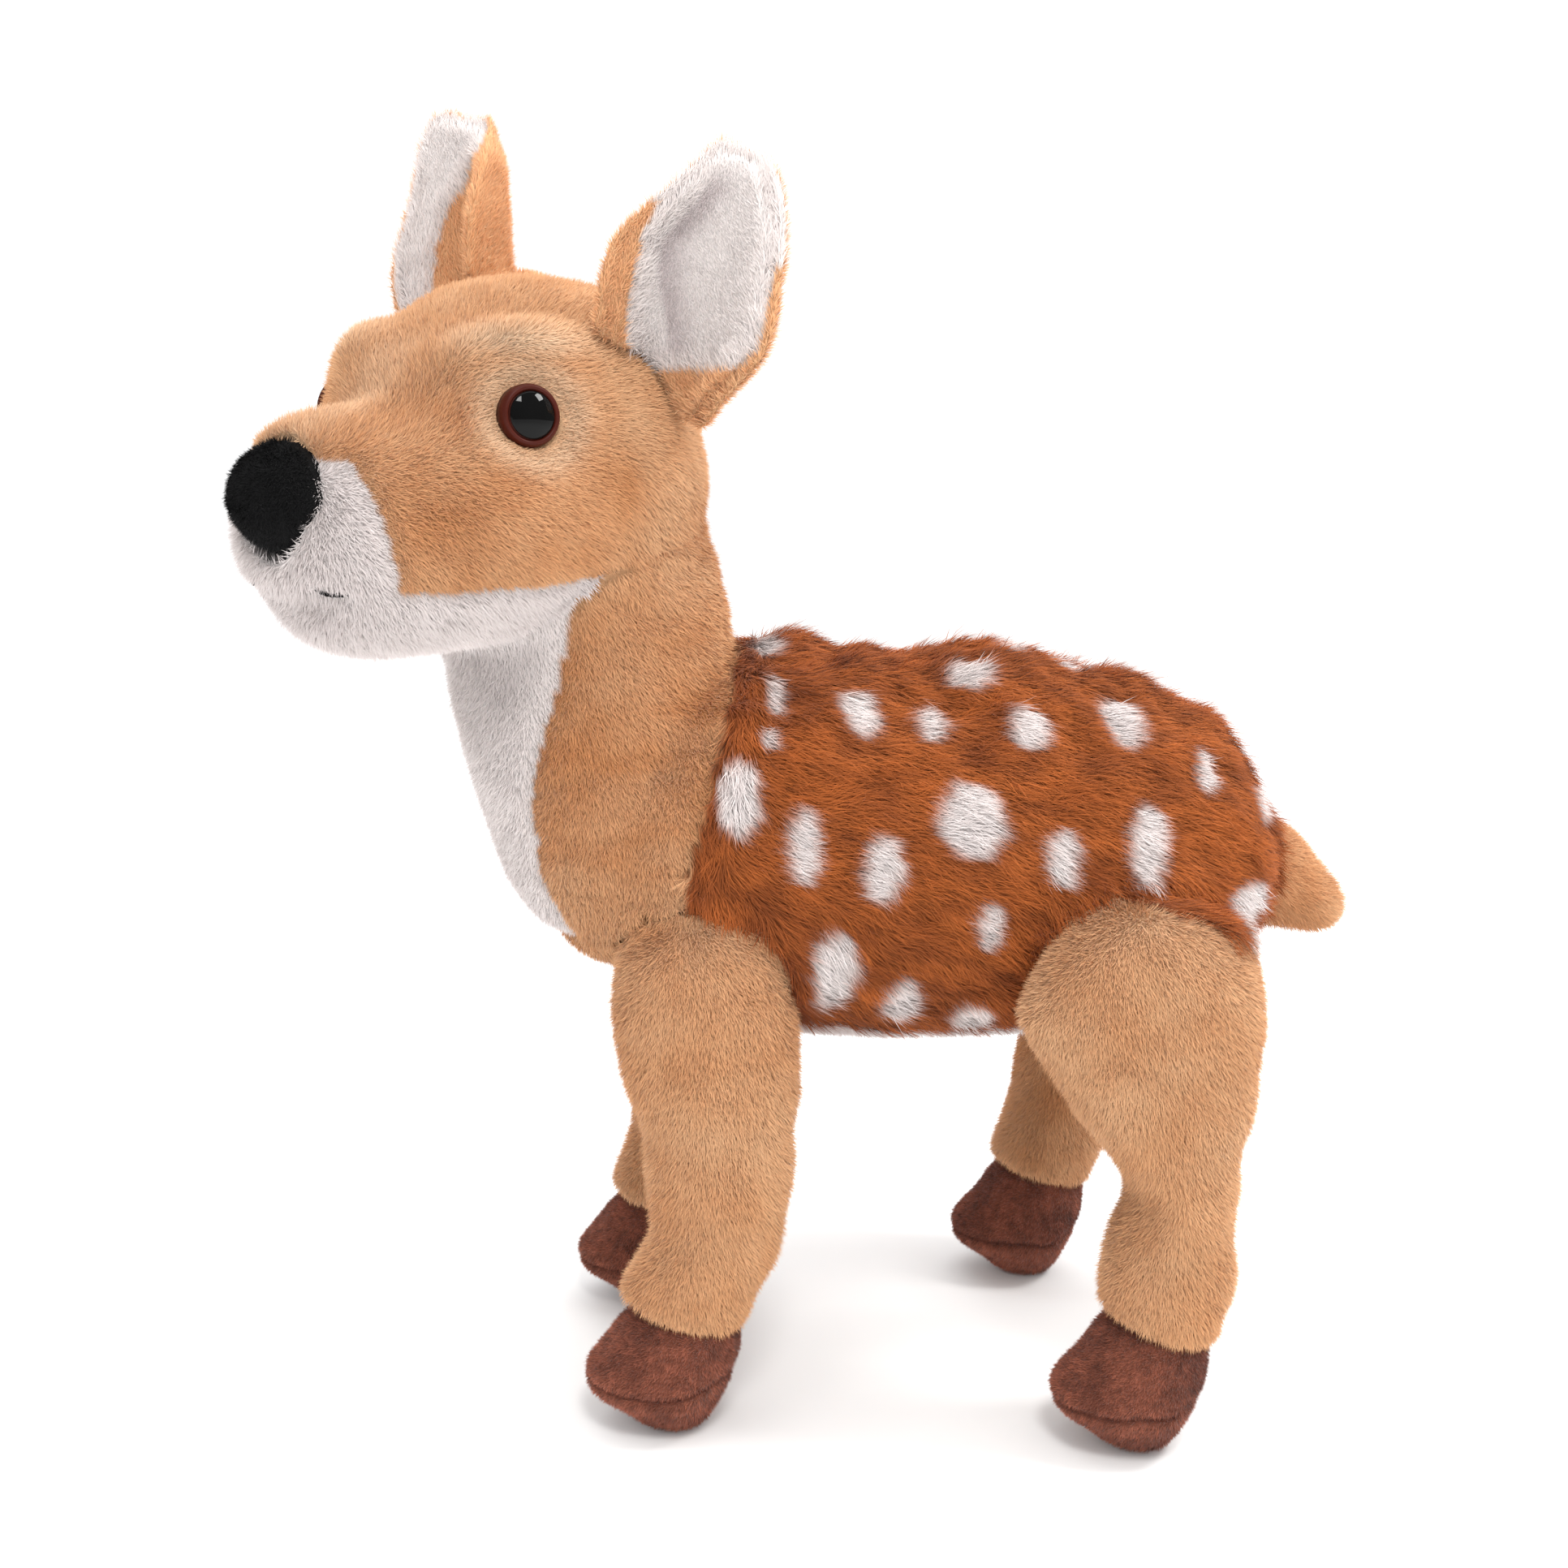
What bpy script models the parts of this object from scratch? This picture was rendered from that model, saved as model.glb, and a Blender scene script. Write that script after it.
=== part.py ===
"""Plush deer: a standing stuffed fawn with a spotted back, soft hooves and safety eyes.

The fawn faces -Y, its left side is +X, and its soles rest on Z = 0. Its head is turned to its left.
All sizes are in metres.
"""
import math

import bmesh
import bpy
from mathutils import Matrix, Vector

# Clearances and cloth
GAP = 0.0003                    # between pieces that are sewn or rest together
SWING_GAP = 0.0004              # round a piece that turns
OVERRUN = 0.004                 # how far a cutter runs past what it cuts
CLOTH_DEPTH = 0.0024            # a sewn-in panel with its backing

# Torso
TORSO_LENGTH = 0.171
TORSO_WIDTH = 0.079
TORSO_HEIGHT = 0.085
TORSO_FRONT_PLACE = -0.066            # place of the chest's foremost point along Y
TORSO_MIDDLE_HEIGHT = 0.1308    # of the torso's axis over the soles

# Neck
NECK_LENGTH = 0.094             # from its rounded foot in the chest to the collar
NECK_WIDTH = 0.0610
NECK_DEPTH = 0.0635
NECK_TILT = 11.0                # degrees forward
COLLAR_PLACE = -0.0598          # the neck axis at the collar, along Y
COLLAR_HEIGHT = 0.193
SPIGOT_DIAMETER = 0.042         # stuffing that stands up into the head
SPIGOT_LENGTH = 0.019

# Head
HEAD_TURN = 42.0                # degrees to its left
HEAD_PLACE = -0.062             # where the head's axis crosses the middle plane, along Y
HEAD_HEIGHT = 0.228             # the level that the head's sections are measured from
HEAD_LENGTH = 0.108
HEAD_BACK_PLACE = -0.032              # from HEAD_PLACE to the back of the head
HEAD_WIDTH = 0.074
HEAD_DEPTH = 0.073

# Muzzle, nose and mouth
MUZZLE_BACK_PLACE = 0.0100             # rear end of the white jaw band
MUZZLE_BAND_DROP = -0.0385      # the band's upper edge under HEAD_HEIGHT
MUZZLE_CORNER_PLACE = 0.0550          # where the band turns up to the nose
MUZZLE_TOP_PLACE = 0.0700
MUZZLE_TOP_DROP = -0.0150
NOSE_WIDTH = 0.0240
NOSE_HEIGHT = 0.0235
NOSE_THICKNESS = 0.0220
NOSE_PLACE = 0.0700
NOSE_DROP = -0.0225
STITCH_DIAMETER = 0.0009
STITCH_LENGTH = 0.0080
STITCH_DROP = -0.0405
STITCH_PLACE = 0.0706
STITCH_OUT = 0.0131
STITCH_YAW = 52.0               # degrees from the head's axis

# Safety eyes
EYE_DIAMETER = 0.0124
EYE_DOME_HEIGHT = 0.0044
EYE_SHANK_DIAMETER = 0.0040
EYE_SHANK_LENGTH = 0.0105
EYE_PLACE = 0.0360
EYE_OUT = 0.0318
EYE_DROP = -0.0046
EYE_FORWARD_TURN = 17.0         # degrees from straight out towards the nose
EYE_RISE = 6.0                  # degrees that the eye looks up
WASHER_DIAMETER = 0.0115
WASHER_THICKNESS = 0.0018
WASHER_DEPTH = 0.0060           # under the eye's seat

# Ears
EAR_LENGTH = 0.0575
EAR_WIDTH = 0.054               # of the cloth, laid flat
EAR_CUP_ROLL = 75.0             # degrees that the outer edge rolls forward
EAR_FOLD_ROLL = 120.0           # and the edge towards the brow, which is folded further over
EAR_THICKNESS = 0.0026
EAR_LINING = 0.0020
EAR_LINING_MARGIN = 0.0022      # of the outer cloth round the lining
EAR_LINING_EASE = 0.0008        # more room than the gap, for where the leaf rolls
EAR_ROOT_DIAMETER = 0.0070
EAR_ROOT_LENGTH = 0.015
EAR_SEAM_OUT = 0.0090        # from the ear's middle line to the middle of its seam
EAR_SEAM_RISE = 0.0110          # from the ear's lower end to the middle of its seam
EAR_SEAM_ANGLE = 60.0           # degrees that the seam runs down, from straight across the ear
LEFT_EAR_PLACE = 0.0010
LEFT_EAR_OUT = 0.0275
LEFT_EAR_RISE = 0.0090
LEFT_EAR_LEAN = 20.0            # degrees outward: the left ear hangs lower than the right
LEFT_EAR_FACING = 20.0          # degrees from the nose to where the hollow faces
RIGHT_EAR_PLACE = -0.0040
RIGHT_EAR_OUT = 0.0170
RIGHT_EAR_RISE = 0.0185
RIGHT_EAR_LEAN = 16.0
RIGHT_EAR_FACING = 3.0
EAR_BACK_LEAN = 3.0             # degrees backward
EAR_SKIN_GAP = 0.0014           # between the ear's edge and the head's skin

# Tail
TAIL_LENGTH = 0.0260
TAIL_ROOT_DIAMETER = 0.0245
TAIL_ROOT_PLACE = 0.1015
TAIL_ROOT_HEIGHT = 0.1225
TAIL_DROOP = 24.0               # degrees under level

# Front legs
SHOULDER_RADIUS = 0.0220
SHOULDER_PLACE = -0.0297
SHOULDER_HEIGHT = 0.0980
FRONT_INNER_OUT = 0.0175            # flat inner face of the leg from the middle plane
FRONT_OUTER_OUT = 0.0455
FRONT_ANKLE_HEIGHT = 0.0265
FRONT_ANKLE_PLACE = -0.0295
FRONT_LEG_WIDTH = 0.0330

# Hind legs
HIP_RADIUS = 0.0275
HIP_PLACE = 0.0652
HIP_HEIGHT = 0.0990
HIND_INNER_OUT = 0.0290
HIND_OUTER_OUT = 0.0600
HIND_ANKLE_HEIGHT = 0.0290
HIND_ANKLE_PLACE = 0.0745
HIND_LEG_WIDTH = 0.0320

# The right hooves stand this far forward of the left ones
FRONT_STEP_LENGTH = 0.0020
HIND_STEP_LENGTH = 0.0060

# Hooves
HOOF_LENGTH = 0.0350
HOOF_WIDTH = 0.0300
HOOF_TOE = 0.0210               # from the ankle's middle to the toe
SOLE_HEIGHT = 0.0058
SOLE_FLAT_DEPTH = 0.0005              # cut off flat where the toy stands
ANKLE_SLOPE = 14.0              # degrees, lower at the heel

# Panels
SADDLE_TOP_PLACE = -0.0225      # front edge at the withers
SADDLE_LOW_PLACE = -0.0335      # front edge at the shoulder
SADDLE_FRONT_RISE = 0.015       # of the upright front edge over the rear hem
SADDLE_REAR_HEIGHT = 0.113
SADDLE_FLANK_HEIGHT = 0.084
SADDLE_FLANK_FRONT_PLACE = -0.0140
SADDLE_FLANK_REAR_PLACE = 0.0450
BELLY_WIDTH = 0.0320
BELLY_FRONT_PLACE = -0.0400
BELLY_REAR_PLACE = 0.0800
BELLY_TOP_HEIGHT = 0.104
BIB_TOP_WIDTH = 0.0600
BIB_MIDDLE_WIDTH = 0.0500
BIB_LOW_WIDTH = 0.0300
BIB_BACK_PLACE = -0.0550              # rear limit of the bib along Y
BIB_LOW_HEIGHT = 0.1130

# Section tables. A row holds, as shares: the place along the form, the middle's shift, the half
# width and the half height. Shifts and half sizes are shares of the form's width and height.
TORSO_SHARES = (
    (0.022, 0.000, 0.50, 0.47), (0.080, 0.030, 0.76, 0.80), (0.178, 0.030, 0.92, 0.95),
    (0.320, 0.015, 0.99, 1.00), (0.480, -0.006, 1.00, 0.99), (0.640, 0.006, 1.00, 0.99),
    (0.780, -0.010, 0.97, 0.90), (0.890, -0.035, 0.87, 0.73), (0.960, -0.055, 0.66, 0.50),
    (0.992, -0.070, 0.34, 0.24),
)
NECK_SHARES = (
    (0.03, -0.050, 0.62, 0.50), (0.10, 0.030, 0.92, 0.75), (0.25, 0.030, 1.09, 0.91),
    (0.42, 0.020, 1.07, 0.98), (0.60, 0.010, 1.02, 1.00), (0.78, 0.000, 1.00, 1.00),
    (0.94, 0.000, 0.99, 0.99), (1.06, 0.000, 0.98, 0.98),
)
HEAD_SHARES = (
    (0.058, -0.164, 0.64, 0.58), (0.185, -0.178, 0.89, 0.95), (0.315, -0.190, 0.98, 1.04),
    (0.463, -0.185, 1.02, 1.03), (0.602, -0.236, 1.00, 0.98), (0.720, -0.336, 0.91, 0.80),
    (0.833, -0.388, 0.71, 0.69), (0.930, -0.384, 0.55, 0.58), (0.982, -0.380, 0.38, 0.40),
)
# A leg's rows under its round top: share of the drop from the top's centre to the ankle, the
# middle's shift along Y, the half length along Y and the half thickness, both of their full sizes.
FRONT_LEG_SHARES = (
    (0.22, -0.02, 1.24, 0.98), (0.50, 0.05, 1.07, 0.92), (0.76, 0.03, 1.00, 0.93),
    (0.94, -0.01, 1.02, 0.95), (1.10, -0.02, 0.84, 0.80),
)
HIND_LEG_SHARES = (
    (0.20, 0.00, 1.56, 1.00), (0.46, 0.03, 1.10, 0.95), (0.70, 0.03, 0.96, 0.90),
    (0.92, 0.02, 0.97, 0.93), (1.10, 0.00, 0.80, 0.80),
)
HEAD_FULLNESS_SHARE = 0.86      # under 1, the head's sections are fuller than ellipses
ROUND_TOP_ANGLES = (14.0, 34.0, 56.0, 78.0)     # degrees down from the top of a leg's round end
HOOF_SHARES = (
    (0.03, 0.00, 0.72, 0.74), (0.16, 0.00, 0.97, 0.97), (0.45, -0.03, 1.00, 1.00),
    (0.75, 0.02, 0.90, 0.94), (1.05, 0.08, 0.78, 0.88),
)
TAIL_SHARES = (
    (0.10, 0.0, 0.97, 0.97), (0.30, 0.0, 0.84, 0.84), (0.55, 0.0, 0.76, 0.74),
    (0.78, 0.0, 0.58, 0.54), (0.94, 0.0, 0.34, 0.30),
)
EAR_WIDTH_SHARES = (0.55, 0.92, 1.02, 0.94, 0.70, 0.24)
EAR_ROLL_SHARES = (0.80, 1.00, 0.95, 0.80, 0.60, 0.40)
EAR_LEAF_COLUMNS = 4

COLOURS = {
    "tan": (0.66, 0.37, 0.18), "white": (0.84, 0.79, 0.78), "rust": (0.38, 0.11, 0.025),
    "black": (0.006, 0.006, 0.008), "hoof": (0.17, 0.065, 0.045), "eye": (0.02, 0.008, 0.005),
    "washer": (0.75, 0.74, 0.70),
}
ROUGHNESS_SHARES = {"eye": 0.06, "washer": 0.4}
CLOTH_ROUGHNESS_SHARE = 0.95

for old in list(bpy.data.objects):
    bpy.data.objects.remove(old, do_unlink=True)

PARTS = bpy.data.collections.new("plush_deer")
CUTTERS = bpy.data.collections.new("cutters")
bpy.context.scene.collection.children.link(PARTS)
bpy.context.scene.collection.children.link(CUTTERS)


# Materials and objects
def material(colour):
    """Return the material of one cloth or plastic colour."""
    found = bpy.data.materials.get(colour)
    if found:
        return found
    made = bpy.data.materials.new(colour)
    made.use_nodes = True
    shader = made.node_tree.nodes["Principled BSDF"]
    shader.inputs["Base Color"].default_value = (*COLOURS[colour], 1.0)
    shader.inputs["Roughness"].default_value = ROUGHNESS_SHARES.get(colour, CLOTH_ROUGHNESS_SHARE)
    shader.inputs["Metallic"].default_value = 0.0
    return made


def add_object(name, mesh, colour, origin=None):
    """Link a mesh as a part, or as a hidden cutter when it has no colour."""
    thing = bpy.data.objects.new(name, mesh)
    if origin is not None:
        mesh.transform(Matrix.Translation(-origin))
        thing.location = origin
    if colour is None:
        CUTTERS.objects.link(thing)
        thing.hide_render = True
        thing.display_type = "WIRE"
    else:
        PARTS.objects.link(thing)
        mesh.materials.append(material(colour))
        mesh.shade_smooth()
    return thing


def combine(thing, other, operation):
    """Add a Boolean modifier that combines another solid with this one."""
    step = thing.modifiers.new(other.name, "BOOLEAN")
    step.operation = operation
    step.object = other
    step.solver = "EXACT"
    return thing


def cut(thing, *others):
    """Take other solids away from this one."""
    for other in others:
        combine(thing, other, "DIFFERENCE")
    return thing


# Shapes
def finish_mesh(name, body):
    """Turn a closed bmesh's faces outward and return it as a mesh."""
    if body.calc_volume(signed=True) < 0.0:
        bmesh.ops.reverse_faces(body, faces=body.faces)
    mesh = bpy.data.meshes.new(name)
    body.to_mesh(mesh)
    body.free()
    return mesh


def stuffed_mesh(name, stations, sides, ends, fullness_share=1.0):
    """Return a closed cage: a sphere whose rings are laid on the stations.

    A station is a middle and two half axes. The ends are the points that close the cage.
    """
    def full(value):
        """Return a sine or cosine, filled out towards the section's corners."""
        return math.copysign(abs(value) ** fullness_share, value)

    body = bmesh.new()
    bmesh.ops.create_uvsphere(body, u_segments=sides, v_segments=len(stations) + 1, radius=1.0)
    top = sorted({round(v.co.z, 5) for v in body.verts}, reverse=True)
    swell = 1.0 / (0.75 + 0.25 * math.cos(math.tau / sides))
    for vert in body.verts:
        row = top.index(round(vert.co.z, 5))
        if row == 0 or row == len(top) - 1:
            vert.co = ends[0] if row == 0 else ends[1]
            continue
        middle, across, up = stations[row - 1]
        angle = math.atan2(vert.co.y, vert.co.x)
        vert.co = middle + swell * (across * full(math.cos(angle)) + up * full(math.sin(angle)))
    return finish_mesh(name, body)


def soften(thing, levels=1):
    """Round a cage with a Subdivision Surface modifier, into flat triangles for the cuts."""
    step = thing.modifiers.new("round", "SUBSURF")
    step.levels = levels
    step.render_levels = levels
    thing.modifiers.new("flat_faces", "TRIANGULATE")
    return thing


def stuffed(name, stations, sides, ends, colour=None, origin=None, fullness_share=1.0):
    """Add a stuffed form as a part, or as a cutter when it has no colour."""
    mesh = stuffed_mesh(name, stations, sides, ends, fullness_share)
    return soften(add_object(name, mesh, colour, origin))


def box(name, low, high, place=None):
    """Add a box cutter between two corners, in the frame of a placing matrix."""
    body = bmesh.new()
    bmesh.ops.create_cube(body, size=1.0)
    low, high = Vector(low), Vector(high)
    for vert in body.verts:
        vert.co = Vector((low[i] + (vert.co[i] + 0.5) * (high[i] - low[i]) for i in range(3)))
    mesh = bpy.data.meshes.new(name)
    body.to_mesh(mesh)
    body.free()
    if place is not None:
        mesh.transform(place)
    return add_object(name, mesh, None)


def slab(name, outline, half_width, place):
    """Add a cutter: an outline in the local XY plane, as thick as twice the half width."""
    body = bmesh.new()
    low = body.faces.new([body.verts.new((x, y, -half_width)) for x, y in outline])
    moved = bmesh.ops.extrude_face_region(body, geom=[low])["geom"]
    verts = [item for item in moved if isinstance(item, bmesh.types.BMVert)]
    bmesh.ops.translate(body, verts=verts, vec=Vector((0.0, 0.0, 2.0 * half_width)))
    mesh = finish_mesh(name, body)
    mesh.transform(place)
    return add_object(name, mesh, None)


def drum(name, radius, low, high, place, segments=32, colour=None):
    """Add a round bar along the local Z axis between two levels."""
    body = bmesh.new()
    bmesh.ops.create_cone(body, cap_ends=True, segments=segments, radius1=radius, radius2=radius,
                          depth=high - low)
    bmesh.ops.translate(body, verts=body.verts, vec=Vector((0.0, 0.0, (high + low) / 2.0)))
    mesh = bpy.data.meshes.new(name)
    body.to_mesh(mesh)
    body.free()
    mesh.transform(place)
    return add_object(name, mesh, colour)


def ball(name, radii, place, colour=None, segments=20, rings=12):
    """Add an ellipsoid with the given half sizes."""
    body = bmesh.new()
    bmesh.ops.create_uvsphere(body, u_segments=segments, v_segments=rings, radius=1.0)
    mesh = bpy.data.meshes.new(name)
    body.to_mesh(mesh)
    body.free()
    mesh.transform(place @ Matrix.Diagonal((*radii, 1.0)))
    return add_object(name, mesh, colour)


def turned(name, profile, place, steps=20, colour=None):
    """Add a turned solid: a profile of radius and height run round the local Z axis."""
    mesh = bpy.data.meshes.new(name)
    closed = profile[0] == profile[-1]
    points = [(radius, 0.0, height) for radius, height in profile[closed:]]
    edges = [(i, i + 1) for i in range(len(points) - 1)] + [(len(points) - 1, 0)] * closed
    mesh.from_pydata(points, edges, [])
    thing = add_object(name, mesh, colour)
    step = thing.modifiers.new("turn", "SCREW")
    step.steps = steps
    step.render_steps = steps
    step.use_merge_vertices = True
    step.merge_threshold = GAP / 10.0
    thing.matrix_world = place
    return thing


def frame_of(origin, x_axis, y_axis):
    """Return the placing matrix of a right-handed frame."""
    x_axis = Vector(x_axis).normalized()
    z_axis = x_axis.cross(Vector(y_axis)).normalized()
    y_axis = z_axis.cross(x_axis)
    turn = Matrix((x_axis, y_axis, z_axis)).transposed().to_4x4()
    return Matrix.Translation(Vector(origin)) @ turn


def hang(name, place, *things):
    """Hang pieces, with the cutters that shape them, on an empty that stands on their joint."""
    joint = bpy.data.objects.new(name, None)
    PARTS.objects.link(joint)
    joint.matrix_world = place
    cutters = [step.object for thing in things if thing.type == "MESH"
               for step in thing.modifiers if step.type == "BOOLEAN"]
    for thing in list(things) + cutters:
        if thing.parent is None:
            thing.parent = joint
            thing.matrix_parent_inverse = place.inverted()
    return joint


SIDE, REAR, UP = Vector((1.0, 0.0, 0.0)), Vector((0.0, 1.0, 0.0)), Vector((0.0, 0.0, 1.0))
# The middle plane as a drawing: Y across it, Z up it, X out of it
PROFILE_PLANE = frame_of((0.0, 0.0, 0.0), REAR, UP)


# Torso
def torso_stations(grow=0.0):
    """Return the torso's sections and its two end points, grown by a length."""
    rows = []
    for along, rise, wide, tall in TORSO_SHARES:
        middle = Vector((0.0, TORSO_FRONT_PLACE - grow + along * (TORSO_LENGTH + 2.0 * grow),
                         TORSO_MIDDLE_HEIGHT + rise * TORSO_HEIGHT))
        rows.append((middle, SIDE * (wide * TORSO_WIDTH / 2.0 + grow),
                     UP * (tall * TORSO_HEIGHT / 2.0 + grow)))
    front = Vector((0.0, TORSO_FRONT_PLACE - grow, rows[0][0].z))
    rear = Vector((0.0, TORSO_FRONT_PLACE + TORSO_LENGTH + grow, rows[-1][0].z))
    return rows, (front, rear)


def torso_form(name, grow=0.0, colour=None):
    """Add the torso's form, grown by a length."""
    rows, ends = torso_stations(grow)
    return stuffed(name, rows, 12, ends, colour)


# Neck
NECK_AXIS = Vector((0.0, -math.sin(math.radians(NECK_TILT)), math.cos(math.radians(NECK_TILT))))
NECK_BACK = Vector((0.0, NECK_AXIS.z, -NECK_AXIS.y))
COLLAR = Vector((0.0, COLLAR_PLACE, COLLAR_HEIGHT))
NECK_FRAME = frame_of(COLLAR, SIDE, NECK_BACK)


def neck_form(name, grow=0.0, colour=None):
    """Add the neck's form, from its foot in the chest to past the collar."""
    rows = []
    for along, shift, wide, deep in NECK_SHARES:
        middle = COLLAR + NECK_AXIS * (along - 1.0) * (NECK_LENGTH + grow)
        middle += NECK_BACK * shift * NECK_DEPTH
        rows.append((middle, SIDE * (wide * NECK_WIDTH / 2.0 + grow),
                     NECK_BACK * (deep * NECK_DEPTH / 2.0 + grow)))
    foot = COLLAR - NECK_AXIS * (NECK_LENGTH + grow) + NECK_BACK * NECK_SHARES[0][1] * NECK_DEPTH
    top = COLLAR + NECK_AXIS * (NECK_SHARES[-1][0] - 1.0) * NECK_LENGTH + NECK_AXIS * OVERRUN
    return stuffed(name, rows, 12, (foot, top), colour)


def spigot_dome(grow):
    """Return the profile of the spigot's rounded top."""
    stem = SPIGOT_DIAMETER / 2.0
    level = SPIGOT_LENGTH - stem / 2.0
    dome = [((stem + grow) * math.cos(math.radians(a)),
             level + (stem / 2.0 + grow) * math.sin(math.radians(a)))
            for a in (75.0, 50.0, 25.0, 0.0)]
    return [(0.0, level + stem / 2.0 + grow)] + dome


def neck_sweep(name, grow):
    """Add the turned solid that the neck's top fills, for the head to turn on."""
    radius = max(NECK_WIDTH, NECK_DEPTH) / 2.0 + grow
    profile = spigot_dome(grow) + [
        (SPIGOT_DIAMETER / 2.0 + grow, grow), (radius, grow), (radius, -NECK_LENGTH / 2.0),
        (0.0, -NECK_LENGTH / 2.0)]
    return turned(name, profile, NECK_FRAME, 20)


# Head
TURN = math.radians(HEAD_TURN)
FORWARD = Vector((math.sin(TURN), -math.cos(TURN), 0.0))
LEFT = Vector((math.cos(TURN), math.sin(TURN), 0.0))
HEAD_ORIGIN = Vector((0.0, HEAD_PLACE, HEAD_HEIGHT))
# The head's own frame: X to the nose, Y to its left, Z up
HEAD_FRAME = frame_of(HEAD_ORIGIN, FORWARD, LEFT)
HEAD_PROFILE_PLANE = frame_of(HEAD_ORIGIN, FORWARD, UP)


def head_form(name, grow=0.0, colour=None):
    """Add the head's form, from the back of the skull to the muzzle."""
    rows = []
    for along, shift, wide, tall in HEAD_SHARES:
        place = HEAD_BACK_PLACE - grow + along * (HEAD_LENGTH + 2.0 * grow)
        middle = HEAD_FRAME @ Vector((place, 0.0, shift * HEAD_DEPTH))
        rows.append((middle, LEFT * (wide * HEAD_WIDTH / 2.0 + grow),
                     UP * (tall * HEAD_DEPTH / 2.0 + grow)))
    back = HEAD_FRAME @ Vector((HEAD_BACK_PLACE - grow, 0.0, HEAD_SHARES[0][1] * HEAD_DEPTH))
    tip = HEAD_FRAME @ Vector((HEAD_BACK_PLACE + HEAD_LENGTH + grow, 0.0,
                               HEAD_SHARES[-1][1] * HEAD_DEPTH))
    return stuffed(name, rows, 12, (back, tip), colour, None, HEAD_FULLNESS_SHARE)


# Regions that the sewn-in panels cover
def saddle_region(name, ease):
    """Add the outline that the spotted saddle covers, eased outward by a length."""
    top = TORSO_MIDDLE_HEIGHT + TORSO_HEIGHT
    rear = TORSO_FRONT_PLACE + TORSO_LENGTH + OVERRUN
    low = SADDLE_REAR_HEIGHT + SADDLE_FRONT_RISE
    slope = (SADDLE_TOP_PLACE - SADDLE_LOW_PLACE) / (top - TORSO_HEIGHT / 2.0 - low)
    outline = [
        (SADDLE_LOW_PLACE + slope * (top - low) - ease, top),
        (SADDLE_LOW_PLACE - ease, low),
        (SADDLE_LOW_PLACE - ease, SADDLE_REAR_HEIGHT - ease),
        (SADDLE_FLANK_FRONT_PLACE - ease, SADDLE_REAR_HEIGHT - ease),
        (SADDLE_FLANK_FRONT_PLACE - ease, SADDLE_FLANK_HEIGHT),
        (SADDLE_FLANK_REAR_PLACE + ease, SADDLE_FLANK_HEIGHT),
        (SADDLE_FLANK_REAR_PLACE + ease, SADDLE_REAR_HEIGHT - ease),
        (rear, SADDLE_REAR_HEIGHT - ease), (rear, top)]
    return slab(name, outline, TORSO_WIDTH, PROFILE_PLANE)


def belly_region(name, ease):
    """Add the box that the white belly panel covers."""
    half = BELLY_WIDTH / 2.0 + ease
    return box(name, (-half, BELLY_FRONT_PLACE - ease, SADDLE_FLANK_HEIGHT),
               (half, BELLY_REAR_PLACE + ease, BELLY_TOP_HEIGHT))


def bib_region(name, ease):
    """Add the outline, seen from the front, that the white bib covers."""
    place = frame_of((0.0, BIB_BACK_PLACE - TORSO_WIDTH / 2.0 + ease, 0.0), SIDE, UP)
    low, middle, top = (w / 2.0 + ease for w in (BIB_LOW_WIDTH, BIB_MIDDLE_WIDTH, BIB_TOP_WIDTH))
    levels = (BIB_LOW_HEIGHT - ease, (BIB_LOW_HEIGHT + COLLAR_HEIGHT) / 2.0,
              COLLAR_HEIGHT + OVERRUN)
    outline = [(-low, levels[0]), (low, levels[0]), (middle, levels[1]), (top, levels[2]),
               (-top, levels[2]), (-middle, levels[1])]
    return slab(name, outline, TORSO_WIDTH / 2.0, place)


def muzzle_region(name, ease):
    """Add the outline, in the head's own profile, that the white muzzle covers."""
    front = HEAD_BACK_PLACE + HEAD_LENGTH + OVERRUN
    bottom = -HEAD_DEPTH
    outline = [(MUZZLE_BACK_PLACE - ease, bottom), (front, bottom), (front, MUZZLE_TOP_DROP + ease),
               (MUZZLE_TOP_PLACE - ease, MUZZLE_TOP_DROP + ease),
               (MUZZLE_CORNER_PLACE - ease, MUZZLE_BAND_DROP + ease),
               (MUZZLE_BACK_PLACE - ease, MUZZLE_BAND_DROP + ease)]
    return slab(name, outline, HEAD_WIDTH, HEAD_PROFILE_PLANE)


def inset_panel(name, colour, form, region, carrier):
    """Sew a panel into a form: the panel is a skin, and its carrier gets the matching seat."""
    panel = form(name, 0.0, colour)
    combine(panel, region(name + "_region", 0.0), "INTERSECT")
    cut(panel, form(name + "_lining", -CLOTH_DEPTH))
    seat = region(name + "_seat", GAP)
    cut(seat, form(name + "_seat_floor", -CLOTH_DEPTH - GAP))
    cut(carrier, seat)
    return panel


# Legs
def leg_stations(radius, place, height, inner, outer, ankle_place, ankle_height, width, rows,
                 side):
    """Return a leg's sections: a round top about its swing axis, then the table's rows."""
    middle_out = (inner + outer) / 2.0
    half_out = (outer - inner) / 2.0
    stations = []
    for angle in ROUND_TOP_ANGLES:
        turn = math.radians(angle)
        bulge = half_out * (0.62 + 0.38 * math.sin(turn))
        middle = Vector((side * (inner + bulge), place, height + radius * math.cos(turn)))
        stations.append((middle, SIDE * bulge, REAR * radius * math.sin(turn)))
    for drop, shift, long, thick in rows:
        middle = Vector((side * (inner + half_out * (0.94 + 0.06 * thick)),
                         place + drop * (ankle_place - place) + shift * width,
                         height + drop * (ankle_height - height)))
        stations.append((middle, SIDE * thick * half_out, REAR * long * width / 2.0))
    top = Vector((side * (inner + half_out * 0.62), place, height + radius))
    last = stations[-1][0]
    foot = last + (last - stations[-2][0]) / 2.0
    return stations, (top, Vector((side * middle_out, foot.y, foot.z)))


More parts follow.
